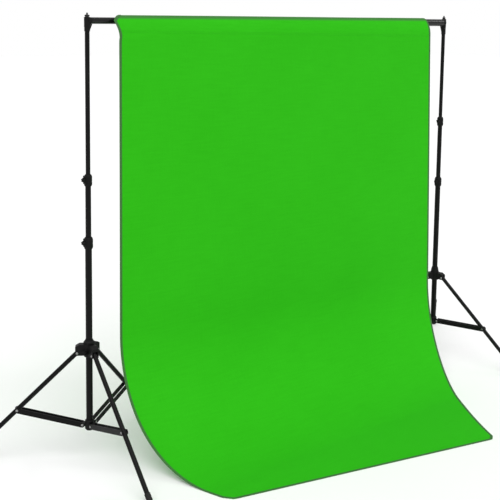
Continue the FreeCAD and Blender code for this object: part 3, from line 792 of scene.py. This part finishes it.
@dataclass
class ClampHousing:
    """Moulded clamp on the end of a column tube.

    Attributes:
        side: Stand that it belongs to.
        stage: Joint of the column that it clamps.
        ribs: Grip ribs round its lower half.
        rib_height: How far a rib stands out.
        lip_gap: Half the clamp's slit.
        lug_half: Half the width of the screw's lug.
        lug_rise: How far the lug reaches above and below the screw.
    """

    side: Side
    stage: Stage
    ribs: int = 20
    rib_height: float = 0.0007
    lip_gap: float = 0.0008
    lug_half: float = 0.008
    lug_rise: float = 0.016

    def __post_init__(self) -> None:
        """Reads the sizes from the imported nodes."""
        name = self.side.value
        self.node = f"{name}_{self.stage.label}_lock"
        self.low, self.high = (corner.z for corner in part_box(self.node))
        self.inner = tube_radius(f"{name}_{self.stage.outer}")
        self.bore = tube_radius(f"{name}_{self.stage.slider}") + 0.0003
        self.outer = self.inner + 0.0045
        self.turn = JOINTS[f"{name}_{self.stage.label}_knob_turn"]
        self.step = self.high - 0.024

    def sleeve(self) -> Mesh:
        """Stepped sleeve with rounded edges."""
        low, high, outer = self.low, self.high, self.outer
        profile = [(self.inner, low), (outer - 0.0025, low), (outer - 0.0006, low + 0.004),
                   (outer - 0.0006, self.step - 0.002), (outer, self.step),
                   (outer, high - 0.008), (outer - 0.001, high - 0.0065),
                   (outer - 0.0012, high - 0.005), (outer - 0.0035, high), (self.bore, high),
                   (self.bore, self.step), (self.inner, self.step)]
        return softened(turned(profile, 64), 0.0006)

    def rib_ring(self) -> list[Mesh]:
        """Upright ribs for the fingers round the lower half."""
        bars = []
        length = self.step - self.low - 0.010
        middle = (self.step + self.low) / 2 + 0.0005
        for k in range(self.ribs):
            bar = block((2 * self.rib_height, 0.0014, length), (self.outer - 0.0006, 0, middle))
            bars.append(placed(softened(bar, 0.0004), Matrix.Rotation(FULL_TURN * k / self.ribs, 4, "Z")))
        return bars

    def clamp_lips(self) -> list[Mesh]:
        """Two lips beside the slit, opposite the screw."""
        lips = []
        height = self.high - self.step - 0.008
        for way in (-1, 1):
            centre = (-self.outer - 0.0008, way * (self.lip_gap + 0.0011), self.step + height / 2 + 0.001)
            lips.append(softened(block((0.0042, 0.0022, height), centre), 0.0005))
        return lips

    def lug(self) -> list[Mesh]:
        """Lug that carries the screw: a round boss between two rounded ends."""
        start, mouth = self.inner + 0.001, self.outer + 0.004
        height = Vector(self.turn["pos_m"]).z
        profile = [(0.0031, start), (self.lug_half, start), (self.lug_half, mouth - 0.0006),
                   (self.lug_half - 0.0006, mouth), (0.0031, mouth)]
        sideways = axis_frame(Vector((0, 0, height)), Vector((1, 0, 0)))
        boss = placed(softened(turned(profile, 40), 0.0002), sideways)
        ends = []
        length = self.lug_rise - 0.0034
        for way in (-1, 1):
            centre = ((start + mouth) / 2, 0, height + way * (0.0034 + length / 2))
            ends.append(softened(block((mouth - start, 2 * self.lug_half, length), centre), 0.0014, 3))
        return [boss, *ends]

    def build(self) -> Piece:
        """Makes the housing in place of the plain one."""
        heading = math.atan2(self.turn["axis"][1], self.turn["axis"][0])
        whole = gathered([self.sleeve(), *self.lug(), *self.rib_ring(), *self.clamp_lips()])
        matrix = Matrix.Translation(pole_centre(self.side)) @ Matrix.Rotation(heading, 4, "Z")
        body = f"{self.side.value}_{self.stage.body}"
        piece = finished(f"{self.node}_moulding", placed(whole, matrix), HOUSING_PLASTIC.material(), body)
        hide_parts(self.node)
        return piece


@dataclass
class HandKnob:
    """Five-lobed hand screw.

    Attributes:
        side: Stand that it belongs to.
        label: lower, upper or collar, as in its node's name.
        lobes: Lobes round the grip.
        radius: Reach of a lobe.
        depth: Thickness of the grip.
        screw: Radius of its screw.
    """

    side: Side
    label: str
    lobes: int = 5
    radius: float = 0.009
    depth: float = 0.009
    screw: float = 0.003

    def __post_init__(self) -> None:
        """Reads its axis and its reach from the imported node."""
        self.node = f"{self.side.value}_{self.label}_knob"
        joint = JOINTS[f"{self.node}_turn"]
        self.axis = Vector(joint["axis"]).normalized()
        pole = pole_centre(self.side)
        self.origin = Vector((pole.x, pole.y, joint["pos_m"][2]))
        self.first, self.end = reach_along(self.node, self.origin, self.axis)

    def grip(self) -> Mesh:
        """Lobed grip with rounded rims and a sunken ring round its cap."""
        shape = bmesh.new()
        start = self.end - self.depth
        bmesh.ops.create_circle(shape, cap_ends=True, segments=self.lobes * 16, radius=self.radius)
        for vert in shape.verts:
            angle = math.atan2(vert.co.y, vert.co.x) - math.pi / 2
            wave = 0.5 + 0.5 * math.cos(self.lobes * angle)
            vert.co *= 0.76 + 0.24 * wave ** 0.8
        bmesh.ops.translate(shape, vec=(0, 0, start), verts=shape.verts[:])
        top = bmesh.ops.extrude_face_region(shape, geom=shape.faces[:])
        raised = [v for v in top["geom"] if isinstance(v, bmesh.types.BMVert)]
        bmesh.ops.translate(shape, vec=(0, 0, self.depth), verts=raised)
        bmesh.ops.recalc_face_normals(shape, faces=shape.faces[:])
        softened(shape, 0.0013, 4, 60.0)
        cap = max(shape.faces, key=lambda f: f.calc_center_median().z + f.calc_area())
        for thickness, depth in ((0.0009, 0.0), (0.0004, -0.0006), (0.0006, 0.0), (0.0004, 0.0005)):
            bmesh.ops.inset_region(shape, faces=[cap], thickness=thickness, depth=depth)
        return shape

    def skirt(self) -> Mesh:
        """Tapered neck under the grip."""
        start = self.end - self.depth
        profile = [(0.0, start - 0.0005), (0.0048, start - 0.0005),
                   (0.0056, start + 0.0015), (0.0, start + 0.0015)]
        return softened(turned(profile, 32), 0.0003)

    def shaft(self) -> Mesh:
        """Screw with turned threads between the tube and the grip."""
        end = self.end - self.depth + 0.001
        profile = [(0.0, self.first), (self.screw - 0.0006, self.first)]
        height = self.first + 0.0006
        while height < end - 0.001:
            profile += [(self.screw, height), (self.screw - 0.00035, height + 0.0005)]
            height += 0.001
        return turned(profile + [(self.screw, end), (0.0, end)], 24)

    def build(self) -> list[Piece]:
        """Makes the knob and its screw in place of the plain one."""
        matrix = axis_frame(self.origin, self.axis)
        grip = finished(f"{self.node}_grip", placed(gathered([self.grip(), self.skirt()]), matrix),
                        KNOB_PLASTIC.material(), self.node)
        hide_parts(self.node)
        screw = finished(f"{self.node}_screw", placed(self.shaft(), matrix),
                         RIVET_ZINC.material(), self.node)
        return [grip, screw]


@dataclass
class RubberFoot:
    """Ribbed rubber boot on the end of a leg.

    Attributes:
        side: Stand that it belongs to.
        number: Which leg, from 1 to 3.
        radius: Radius of the boot.
        grooves: Grooves round it.
    """

    side: Side
    number: int
    radius: float = 0.0115
    grooves: int = 4

    def build(self) -> Piece:
        """Makes the boot in place of the plain one."""
        leg = f"{self.side.value}_leg_{self.number}"
        node = f"{self.side.value}_foot_{self.number}"
        pivot = Vector(JOINTS[f"{leg}_fold"]["pos_m"])
        middle, axis = long_axis(leg, pivot)
        start, end = reach_along(node, middle, axis)
        radius = self.radius
        profile = [(0.0, start + 0.004), (0.0093, start + 0.004), (0.0093, start), (radius - 0.0012, start),
                   (radius, start + 0.0012), (radius, start + 0.003), (radius - 0.001, start + 0.0042)]
        pitch = 0.0052
        for k in range(self.grooves):
            at = start + 0.006 + pitch * k
            profile += [(radius - 0.001, at), (radius - 0.0001, at + 0.0008), (radius - 0.0001, at + 0.003),
                        (radius - 0.001, at + 0.0038)]
        profile += [(radius - 0.001, end - 0.014), (radius, end - 0.012),
                    (radius, end + 0.012), (0.0, end + 0.012)]
        shape = placed(turned(profile, 48), axis_frame(middle, axis))
        softened(shape, 0.00025, 1, 50.0)
        cut = bmesh.ops.bisect_plane(shape, geom=shape.verts[:] + shape.edges[:] + shape.faces[:],
                                     plane_co=(0, 0, 0), plane_no=(0, 0, -1), clear_outer=True)
        rim = [e for e in cut["geom_cut"] if isinstance(e, bmesh.types.BMEdge)]
        bmesh.ops.edgeloop_fill(shape, edges=rim)
        bmesh.ops.recalc_face_normals(shape, faces=shape.faces[:])
        piece = finished(f"{node}_boot", shape, FOOT_RUBBER.material(), leg)
        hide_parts(node)
        return piece


@dataclass
class StrutRivets:
    """Domed zinc caps on the rivets that join a strut to its leg.

    Attributes:
        side: Stand that it belongs to.
        number: Which strut, from 1 to 3.
        radius: Radius of a cap.
        height: How far a cap stands out.
        strip_half: Half the height of the strip, which rounds its end.
    """

    side: Side
    number: int
    radius: float = 0.0053
    height: float = 0.0024
    strip_half: float = 0.010

    def dome(self) -> Mesh:
        """One cap with a thin rim under it."""
        arc = [(self.radius * 0.94 * math.cos(a), 0.0004 + (self.height - 0.0004) * math.sin(a))
               for a in (math.radians(15 * k) for k in range(6))]
        rim = [(0.0, -0.0002), (self.radius, -0.0002), (self.radius, 0.0004)]
        return turned([*rim, *arc, (0.0, self.height)], 32)

    def build(self) -> Piece:
        """Makes the two caps on the outer faces of the strips."""
        strut = f"{self.side.value}_strut_{self.number}"
        joint = JOINTS[f"{strut}_fold"]
        pivot, across = Vector(joint["pos_m"]), Vector(joint["axis"]).normalized()
        _, along = long_axis(strut, pivot)
        end = reach_along(strut, pivot, along)[1] - self.strip_half
        outside = reach_along(strut, pivot, across)[1] - 0.0018
        tip = pivot + along * end
        caps = [placed(self.dome(), axis_frame(tip + across * way * outside, across * way))
                for way in (-1, 1)]
        return finished(f"{strut}_rivet_caps", gathered(caps), RIVET_ZINC.material(), strut)


GRIP_RISE = {Side.LEFT: 0.039, Side.RIGHT: 0.021}


@dataclass
class CollarGrip:
    """Ribbed grip ring on a leg collar.

    Attributes:
        side: Stand that it belongs to.
        ribs: Ribs round the ring.
        radius: Radius of the collar.
        half_height: Half the ring's height.
    """

    side: Side
    ribs: int = 24
    radius: float = 0.0205
    half_height: float = 0.0045

    def build(self) -> Piece:
        """Makes the ring round the collar's shoulder."""
        name = self.side.value
        pole = pole_centre(self.side)
        height = JOINTS[f"{name}_leg_1_fold"]["pos_m"][2] + GRIP_RISE[self.side]
        radius = self.radius
        profile = [(radius - 0.0008, -self.half_height), (radius + 0.0006, -self.half_height),
                   (radius + 0.0006, self.half_height), (radius - 0.0008, self.half_height)]
        ring = softened(turned(profile, 72), 0.0003)
        size = (0.0012, 0.0013, self.half_height * 1.7)
        bars = [placed(softened(block(size, (radius + 0.0007, 0, 0)), 0.0003, 1),
                       Matrix.Rotation(FULL_TURN * k / self.ribs, 4, "Z")) for k in range(self.ribs)]
        whole = placed(gathered([ring, *bars]), Matrix.Translation(pole + UP * height))
        return finished(f"{name}_collar_grip", whole, HOUSING_PLASTIC.material(), f"{name}_collar")


@dataclass
class StudThread:
    """Rolled thread on the tip of the stud above the wing nut.

    Attributes:
        side: Stand that it belongs to.
        pitch: Rise of one turn: twenty threads to the inch.
        length: Threaded length below the stud's tip.
        radius: Radius of the tip.
        steps: Divisions of a turn.
    """

    side: Side
    pitch: float = 0.00127
    length: float = 0.0055
    radius: float = 0.003175
    steps: int = 28

    def build(self) -> Piece:
        """Makes the ridge as one spun screw with closed ends."""
        name = self.side.value
        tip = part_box(f"{name}_spigot")[1].z
        turns = int(self.length / self.pitch)
        start = tip - 0.0013 - turns * self.pitch
        shape = bmesh.new()
        section = [(self.radius - 0.0002, -0.0005), (self.radius + 0.0003, -0.0001),
                   (self.radius + 0.0003, 0.0001), (self.radius - 0.0002, 0.0005)]
        verts = [shape.verts.new((r, 0, start + z)) for r, z in section]
        first = shape.faces.new(verts)
        count = turns * self.steps
        bmesh.ops.spin(shape, geom=[first], cent=(0, 0, 0), axis=(0, 0, 1),
                       dvec=(0, 0, self.pitch / self.steps), angle=FULL_TURN * turns, steps=count)
        bmesh.ops.recalc_face_normals(shape, faces=shape.faces[:])
        placed(shape, Matrix.Translation(pole_centre(self.side)))
        return finished(f"{name}_stud_thread", shape, STUD_STEEL.material(), f"{name}_top")


@dataclass
class Stand:
    """Detail pieces of one tripod stand."""

    side: Side
    pieces: list[Piece] = field(default_factory=list)

    def build(self) -> None:
        """Makes the housings, knobs, boots, rivet caps, grip and stud thread."""
        self.pieces += [ClampHousing(self.side, stage).build() for stage in Stage]
        for label in ("lower", "upper", "collar"):
            self.pieces += HandKnob(self.side, label).build()
        for number in (1, 2, 3):
            self.pieces.append(RubberFoot(self.side, number).build())
            self.pieces.append(StrutRivets(self.side, number).build())
        self.pieces.append(CollarGrip(self.side).build())
        self.pieces.append(StudThread(self.side).build())
        log.info("%s stand: %d detail pieces", self.side.value, len(self.pieces))


# ---------------------------------------------------------------- cloth


def through(points: tuple[tuple[float, float], ...], at: float) -> float:
    """Value of the polynomial through a few (position, value) points."""
    total = 0.0
    for i, (x_i, y_i) in enumerate(points):
        term = y_i
        for j, (x_j, _) in enumerate(points):
            if i != j:
                term *= (at - x_j) / (x_i - x_j)
        total += term
    return total


@dataclass
class HungCloth:
    """The cloth: a rod pocket over the crossbar, a straight drop, and a sweep onto the floor.

    Distances are from the point on the floor midway between the poles, before they are
    moved to the row frame.

    Attributes:
        front: Place of the hanging part in front of the bar's axis.
        left: Side of the cloth at the left.
        right_top: Side at the right, just under the pocket.
        right_foot: Side at the right, where the sweep begins.
        sweep_left: Radius of the sweep at the left side.
        sweep_right: Radius of the sweep at the right side.
        left_curve: Left side in plan as (y, x), from the drop to the front corner.
        right_curve: Right side in plan, the same way.
        pocket: Loop round the bar as (y, height above the bar's axis), from the seam
            behind, under and over the bar and down the front.
        left_end: Slant of the pocket's left end as (share of the loop, shift to the right).
        seam_drop: Height of the seam below the bar's axis.
        thickness: Thickness of the cloth.
        hem_half: Half the width of the hem.
        corner_share: Share of the width over which a front corner is rounded.
        corner_rise: How far a rounded corner is drawn back.
        columns: Faces across.
        rows: Faces along.
        flat: Width and length of the cloth laid flat; not used.
        hem_steps: Divisions of the hem along a side and along the front.
        stitch_pitch: Distance from one stitch to the next.
        stitch_length: Length of a stitch.
    """

    front: float = -0.050
    left: float = -0.891
    right_top: float = 0.847
    right_foot: float = 0.890
    sweep_left: float = 0.479
    sweep_right: float = 0.450
    left_curve: tuple = ((-0.050, -0.891), (-0.250, -0.870), (-0.450, -0.824), (-0.610, -0.772))
    right_curve: tuple = ((-0.050, 0.890), (-0.300, 0.748), (-0.500, 0.6205), (-0.862, 0.418))
    pocket: tuple = ((-0.0478, -0.0435), (-0.025, -0.0342), (0.0075, -0.0205), (0.0186, -0.01075),
                     (0.0215, 0.0), (0.0186, 0.01075), (0.01075, 0.0186), (0.0, 0.0215),
                     (-0.0171, 0.0165), (-0.0321, 0.002), (-0.0433, -0.0202), (-0.0485, -0.0418),
                     (-0.050, -0.062))
    left_end: tuple = ((0.0, 0.0), (0.109, 0.013), (0.266, 0.029), (0.381, 0.031), (0.480, 0.029),
                       (0.529, 0.024), (0.608, 0.005), (0.701, -0.013), (0.811, -0.006), (0.910, 0.0),
                       (1.0, 0.002), (1.05, 0.0))
    seam_drop: float = 0.046
    thickness: float = 0.0009
    hem_half: float = 0.0062
    corner_share: float = 0.014
    corner_rise: float = 0.028
    columns: int = 148
    rows: int = 232
    flat: tuple[float, float] = (1.78, 2.46)
    hem_steps: tuple[int, int] = (260, 90)
    stitch_pitch: float = 0.0034
    stitch_length: float = 0.0026

    def __post_init__(self) -> None:
        """Reads the place of the bar and prepares the path of the cloth."""
        low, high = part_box("bar_middle_section")
        self.bar = Vector((0.0, (low.y + high.y) / 2, (low.z + high.z) / 2))
        poles = [pole_centre(side).x for side in Side]
        self.middle_x = sum(poles) / 2
        self.loop = self.smooth_loop()
        self.loop_length = self.length_of(self.loop)
        self.drop_top = self.bar.z + self.pocket[-1][1]

    def smooth_loop(self) -> list[tuple[float, float]]:
        """The pocket's outline as a fine line through its points."""
        points = [np.array(p) for p in self.pocket]
        points = [2 * points[0] - points[1], *points, points[-1] + np.array((0.0, -0.03))]
        line = []
        for before, start, end, after in zip(points, points[1:], points[2:], points[3:]):
            for k in range(12):
                t = k / 12
                place = 0.5 * (2 * start + (end - before) * t
                               + (2 * before - 5 * start + 4 * end - after) * t ** 2
                               + (3 * start - before - 3 * end + after) * t ** 3)
                line.append((float(place[0]), float(place[1])))
        line.append(self.pocket[-1])
        return line

    @staticmethod
    def length_of(line: list[tuple[float, float]]) -> float:
        """Length of a line of points."""
        return sum(math.dist(a, b) for a, b in zip(line, line[1:]))

    def on_loop(self, distance: float) -> tuple[float, float]:
        """Point of the pocket at a distance along it from the seam."""
        for a, b in zip(self.loop, self.loop[1:]):
            step = math.dist(a, b)
            if distance <= step:
                share = distance / step
                return a[0] + (b[0] - a[0]) * share, a[1] + (b[1] - a[1]) * share
            distance -= step
        return self.loop[-1]

    def sweep_radius(self, across: float) -> float:
        """Radius of the sweep at a share of the width."""
        return self.sweep_left + (self.sweep_right - self.sweep_left) * across

    def front_y(self, across: float) -> float:
        """Place of the front edge at a share of the width, drawn back at its rounded corners."""
        corner = sum(math.exp(-((across - side) / self.corner_share) ** 2) for side in (0.0, 1.0))
        straight = self.left_curve[-1][0] + (self.right_curve[-1][0] - self.left_curve[-1][0]) * across
        return straight + self.corner_rise * corner

    def column_lengths(self, across: float) -> tuple[float, float, float, float]:
        """Lengths of the pocket, the drop, the sweep's arc and the part on the floor."""
        radius = self.sweep_radius(across)
        drop = self.drop_top - radius
        floor = (self.front - radius) - self.front_y(across)
        return self.loop_length, drop, radius * math.pi / 2, floor

    def profile(self, across: float, distance: float) -> tuple[float, float]:
        """Place in depth and height of a point of one column of the cloth.

        Args:
            across: Share of the width from the left side.
            distance: Length along the cloth from the seam.

        Returns:
            y before it is moved to the row frame, and z.
        """
        loop, drop, arc, floor = self.column_lengths(across)
        radius = self.sweep_radius(across)
        if distance < loop:
            y, rise = self.on_loop(distance)
            return y, self.bar.z + rise
        if distance < loop + drop:
            return self.front, self.drop_top - (distance - loop)
        distance -= loop + drop
        ground = self.thickness * 0.6
        if distance < arc:
            angle = distance / radius
            return self.front - radius * (1 - math.cos(angle)), max(radius * (1 - math.sin(angle)), ground)
        return self.front - radius - min(distance - arc, floor), ground

    def side_x(self, across: int, y: float, z: float) -> float:
        """Place of the left (0) or right (1) side of the cloth at a depth and height."""
        if y < self.front - 1e-6:
            return through(self.right_curve if across else self.left_curve, y)
        if not across:
            return self.left
        share = min(1.0, max(0.0, (self.drop_top - z) / (self.drop_top - self.sweep_right)))
        return self.right_top + (self.right_foot - self.right_top) * share

    def sway(self, x: float, z: float, y: float) -> float:
        """Gentle folds of the hanging part, none at the seam and none on the floor."""
        below = max(0.0, self.bar.z - self.seam_drop - 0.03 - z)
        reach = min(1.0, below / 0.5) * min(1.0, max(0.0, z - 0.05) / 0.4)
        slow = (math.sin(x * 5.1 + 0.6) + 0.6 * math.sin(x * 9.7 - z * 1.1 + 2.0)
                + 0.3 * math.sin(x * 17.3 + z * 0.7))
        pucker = math.exp(-((z - self.bar.z + self.seam_drop) / 0.02) ** 2) if y < -0.04 else 0.0
        return 0.0016 * reach * slow + 0.0003 * pucker * math.sin(x * 310.0 + 2.0 * math.sin(x * 37.0))

    def place(self, across: float, along: float) -> tuple[Vector, tuple[float, float]]:
        """Point of the cloth.

        Args:
            across: Share of the width from the left side.
            along: Share of the length from the seam.

        Returns:
            The point in the row frame, and its lengths across and along the flat cloth.
        """
        sides = []
        for edge in (0, 1):
            gone = along * sum(self.column_lengths(edge))
            y, z = self.profile(edge, gone)
            share = gone / self.loop_length
            slant = 0.0 if edge else float(np.interp(share, *zip(*self.left_end)))
            sides.append(self.side_x(edge, y, z) + slant)
        distance = along * sum(self.column_lengths(across))
        y, z = self.profile(across, distance)
        x = sides[0] + (sides[1] - sides[0]) * across
        y += self.sway(x, z, y)
        return Vector((x + self.middle_x, y + self.bar.y, z)), (x, distance)

    def sheet(self) -> Piece:
        """The cloth itself, from one flat grid."""
        shape = bmesh.new()
        bmesh.ops.create_grid(shape, x_segments=self.columns, y_segments=self.rows, size=0.5)
        lengths = {}
        for vert in shape.verts:
            vert.co, lengths[vert.index] = self.place(vert.co.x + 0.5, vert.co.y + 0.5)
        layer = shape.loops.layers.uv.new(LENGTHS)
        for face in shape.faces:
            for corner in face.loops:
                corner[layer].uv = lengths[corner.vert.index]
        middle = next(f for f in shape.faces if abs(f.calc_center_median().z - 1.0) < 0.02)
        if middle.normal.y > 0:
            bmesh.ops.reverse_faces(shape, faces=shape.faces[:])
        piece = finished("backdrop_sheet", shape, CLOTH_WEAVE.material(), "bar_left", 180.0)
        skin = piece.modifiers.new("cloth_thickness", "SOLIDIFY")
        skin.thickness = self.thickness
        skin.offset = 0.0
        return piece

    def edge_line(self) -> list[tuple[Vector, float]]:
        """Points round the sides and the front edge with their distance along the edge."""
        side, front = self.hem_steps
        points = [self.place(0.0, k / side)[0] for k in range(1, side)]
        points += [self.place(k / front, 1.0)[0] for k in range(front + 1)]
        points += [self.place(1.0, 1 - k / side)[0] for k in range(1, side)]
        distances = [0.0]
        for a, b in zip(points, points[1:]):
            distances.append(distances[-1] + (b - a).length)
        return list(zip(points, distances))

    def hem(self) -> Piece:
        """Overlocked edge: a flat band of thread along both sides and the front."""
        line = self.edge_line()
        shape = bmesh.new()
        layer = shape.loops.layers.uv.new(LENGTHS)
        segments = 8
        rings = []
        for k, (point, _) in enumerate(line):
            ahead = line[min(k + 1, len(line) - 1)][0] - line[max(k - 1, 0)][0]
            ring = bmesh.ops.create_circle(shape, segments=segments, radius=1.0)["verts"]
            inward = self.inward(point, ahead.normalized())
            flat = inward.cross(ahead.normalized()).normalized()
            for vert in ring:
                reach = vert.co.x * self.hem_half + self.hem_half - 0.001
                vert.co = point + inward * reach + flat * (vert.co.y * 0.0011)
            rings.append(ring)
        for ring, following in zip(rings, rings[1:]):
            edges = {e for v in ring for e in v.link_edges if e.other_vert(v) in ring}
            edges |= {e for v in following for e in v.link_edges if e.other_vert(v) in following}
            bmesh.ops.bridge_loops(shape, edges=list(edges))
        for ring in (rings[0], rings[-1]):
            bmesh.ops.contextual_create(shape, geom=ring)
        bmesh.ops.recalc_face_normals(shape, faces=shape.faces[:])
        index_of = {vert: (ring_number, spoke)
                    for ring_number, ring in enumerate(rings) for spoke, vert in enumerate(ring)}
        for face in shape.faces:
            spokes = [index_of[corner.vert][1] for corner in face.loops]
            wrap = max(spokes) == segments - 1 and min(spokes) == 0
            for corner in face.loops:
                ring_number, spoke = index_of[corner.vert]
                round_share = (segments if wrap and spoke == 0 else spoke) / segments
                corner[layer].uv = (round_share, line[ring_number][1])
        return finished("backdrop_hem", shape, EDGE_THREAD.material(), "bar_left", 80.0)

    def inward(self, point: Vector, ahead: Vector) -> Vector:
        """Direction in the cloth that leads away from its edge."""
        centre = Vector((self.middle_x - 0.1, point.y, point.z))
        if point.z < 0.01:
            centre = Vector((self.middle_x - 0.1, self.bar.y - 0.35, point.z))
        lead = centre - point
        lead -= ahead * lead.dot(ahead)
        return lead.normalized()

    def stitches(self) -> Piece:
        """Two rows of stitches that close the pocket."""
        shape = bmesh.new()
        layer = shape.loops.layers.uv.new(LENGTHS)
        loop = self.loop_length
        pitch = self.stitch_pitch
        below_seam = -self.pocket[-1][1] - self.seam_drop
        for row in (0.002, 0.009):
            along = (loop - below_seam + row) / sum(self.column_lengths(0.5))
            count = int((self.right_top - self.left - 0.02) / pitch)
            for k in range(count):
                share = (0.01 + pitch * k) / (self.right_top - self.left)
                spot = self.place(share, along)[0]
                made = bmesh.ops.create_icosphere(shape, subdivisions=1, radius=0.5)["verts"]
                bmesh.ops.scale(shape, vec=(self.stitch_length, 0.0006, 0.0005), verts=made)
                proud = Vector((0, -self.thickness / 2 - 0.0001, 0))
                bmesh.ops.translate(shape, vec=spot + proud, verts=made)
        for face in shape.faces:
            for corner in face.loops:
                corner[layer].uv = (corner.vert.co.z * 300, corner.vert.co.x)
        return finished("backdrop_stitching", shape, SEAM_THREAD.material(), "bar_left", 80.0)

    def build(self) -> None:
        """Makes the cloth with its hem and stitches, in place of the plain sheet."""
        sheet, hem, stitching = self.sheet(), self.hem(), self.stitches()
        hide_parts("backdrop_cloth")
        for piece in (sheet, hem, stitching):
            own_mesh(piece)


# ---------------------------------------------------------------- studio


@dataclass
class Studio:
    """Floor, soft light and camera.

    Attributes:
        camera_place: Camera from the point on the floor midway between the poles.
        heading: Direction that the camera looks in, in degrees from +X towards +Y.
        dip: How far it looks down, in degrees.
        roll: Turn about its own axis, in degrees.
        lens: Focal length in millimetres on a 36 mm sensor.
        shift: Vertical shift of the lens.
        floor_half: Half the floor's width.
        floor_drop: How far the floor lies under the part.
        fill: Strength of the white surroundings as a light.
    """

    camera_place: tuple[float, float, float] = (-2.7693, -3.2439, 1.7376)
    heading: float = 51.846
    dip: float = 6.745
    roll: float = 0.762
    lens: float = 69.97
    shift: float = -0.245
    floor_half: float = 30.0
    floor_drop: float = 0.0006
    fill: float = 0.70

    def camera(self) -> None:
        """Makes the camera at the viewing angle."""
        heading, dip, roll = (math.radians(a) for a in (self.heading, self.dip, self.roll))
        level = math.cos(dip)
        ahead = Vector((math.cos(heading) * level, math.sin(heading) * level, -math.sin(dip)))
        right = Vector((math.sin(heading), -math.cos(heading), 0))
        upward = right.cross(ahead)
        across = right * math.cos(roll) + upward * math.sin(roll)
        top = upward * math.cos(roll) - right * math.sin(roll)
        data = bpy.data.cameras.new("studio_camera")
        data.lens, data.sensor_width, data.shift_y = self.lens, 36.0, self.shift
        data.dof.use_dof = False
        data.clip_end = 60.0
        poles = [pole_centre(side) for side in Side]
        floor_point = (poles[0] + poles[1]) / 2
        lens = bpy.data.objects.new("studio_camera", data)
        lens.matrix_world = (Matrix.Translation(Vector(self.camera_place) + floor_point)
                             @ Matrix((across, top, -ahead)).transposed().to_4x4())
        bpy.context.scene.collection.objects.link(lens)
        bpy.context.scene.camera = lens

    def floor(self) -> None:
        """Makes the wide pale floor."""
        shape = bmesh.new()
        bmesh.ops.create_grid(shape, x_segments=4, y_segments=4, size=self.floor_half)
        bmesh.ops.translate(shape, vec=(0, 0, -self.floor_drop), verts=shape.verts[:])
        mesh = bpy.data.meshes.new("studio_floor")
        shape.to_mesh(mesh)
        shape.free()
        mesh.materials.append(FLOOR_PAINT.material())
        floor = bpy.data.objects.new("studio_floor", mesh)
        bpy.context.scene.collection.objects.link(floor)

    def soft_light(self) -> None:
        """Even white surroundings, a soft light from the front left and a strip light from the right."""
        world = bpy.data.worlds.new("studio_white")
        world.use_nodes = True
        tree = world.node_tree
        tree.nodes.clear()
        seen = add_node(tree, "ShaderNodeBackground", {"Color": (1, 1, 1, 1), "Strength": 1.0})
        lit = add_node(tree, "ShaderNodeBackground", {"Color": (1, 1, 1, 1), "Strength": self.fill})
        direct = add_node(tree, "ShaderNodeLightPath").outputs["Is Camera Ray"]
        either = add_node(tree, "ShaderNodeMixShader", {0: direct, 1: lit.outputs[0], 2: seen.outputs[0]})
        output = tree.nodes.new("ShaderNodeOutputWorld")
        tree.links.new(either.outputs[0], output.inputs["Surface"])
        bpy.context.scene.world = world
        self.lamp("softbox_front", 1.5, 70.0, Vector((-0.55, -0.75, 1.25)))
        self.lamp("strip_light_right", 0.35, 10.0, Vector((0.75, -0.46, 0.47)))
        bpy.context.scene.view_settings.view_transform = "Standard"

    @staticmethod
    def lamp(name: str, strength: float, spread: float, towards: Vector) -> None:
        """Adds a distant light.

        Args:
            name: Name of the light.
            strength: Its irradiance.
            spread: Its apparent size in degrees.
            towards: Direction in which it stands.
        """
        light = bpy.data.lights.new(name, "SUN")
        light.energy = strength
        light.angle = math.radians(spread)
        holder = bpy.data.objects.new(name, light)
        holder.rotation_euler = towards.to_track_quat("Z", "Y").to_euler()
        bpy.context.scene.collection.objects.link(holder)

    def build(self) -> None:
        """Makes the studio."""
        self.camera()
        self.floor()
        self.soft_light()


def main() -> None:
    """Builds the studio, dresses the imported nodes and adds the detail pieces."""
    Studio().build()
    dress_frame()
    for side in Side:
        Stand(side).build()
    HungCloth().build()


if __name__ == "__main__":
    main()
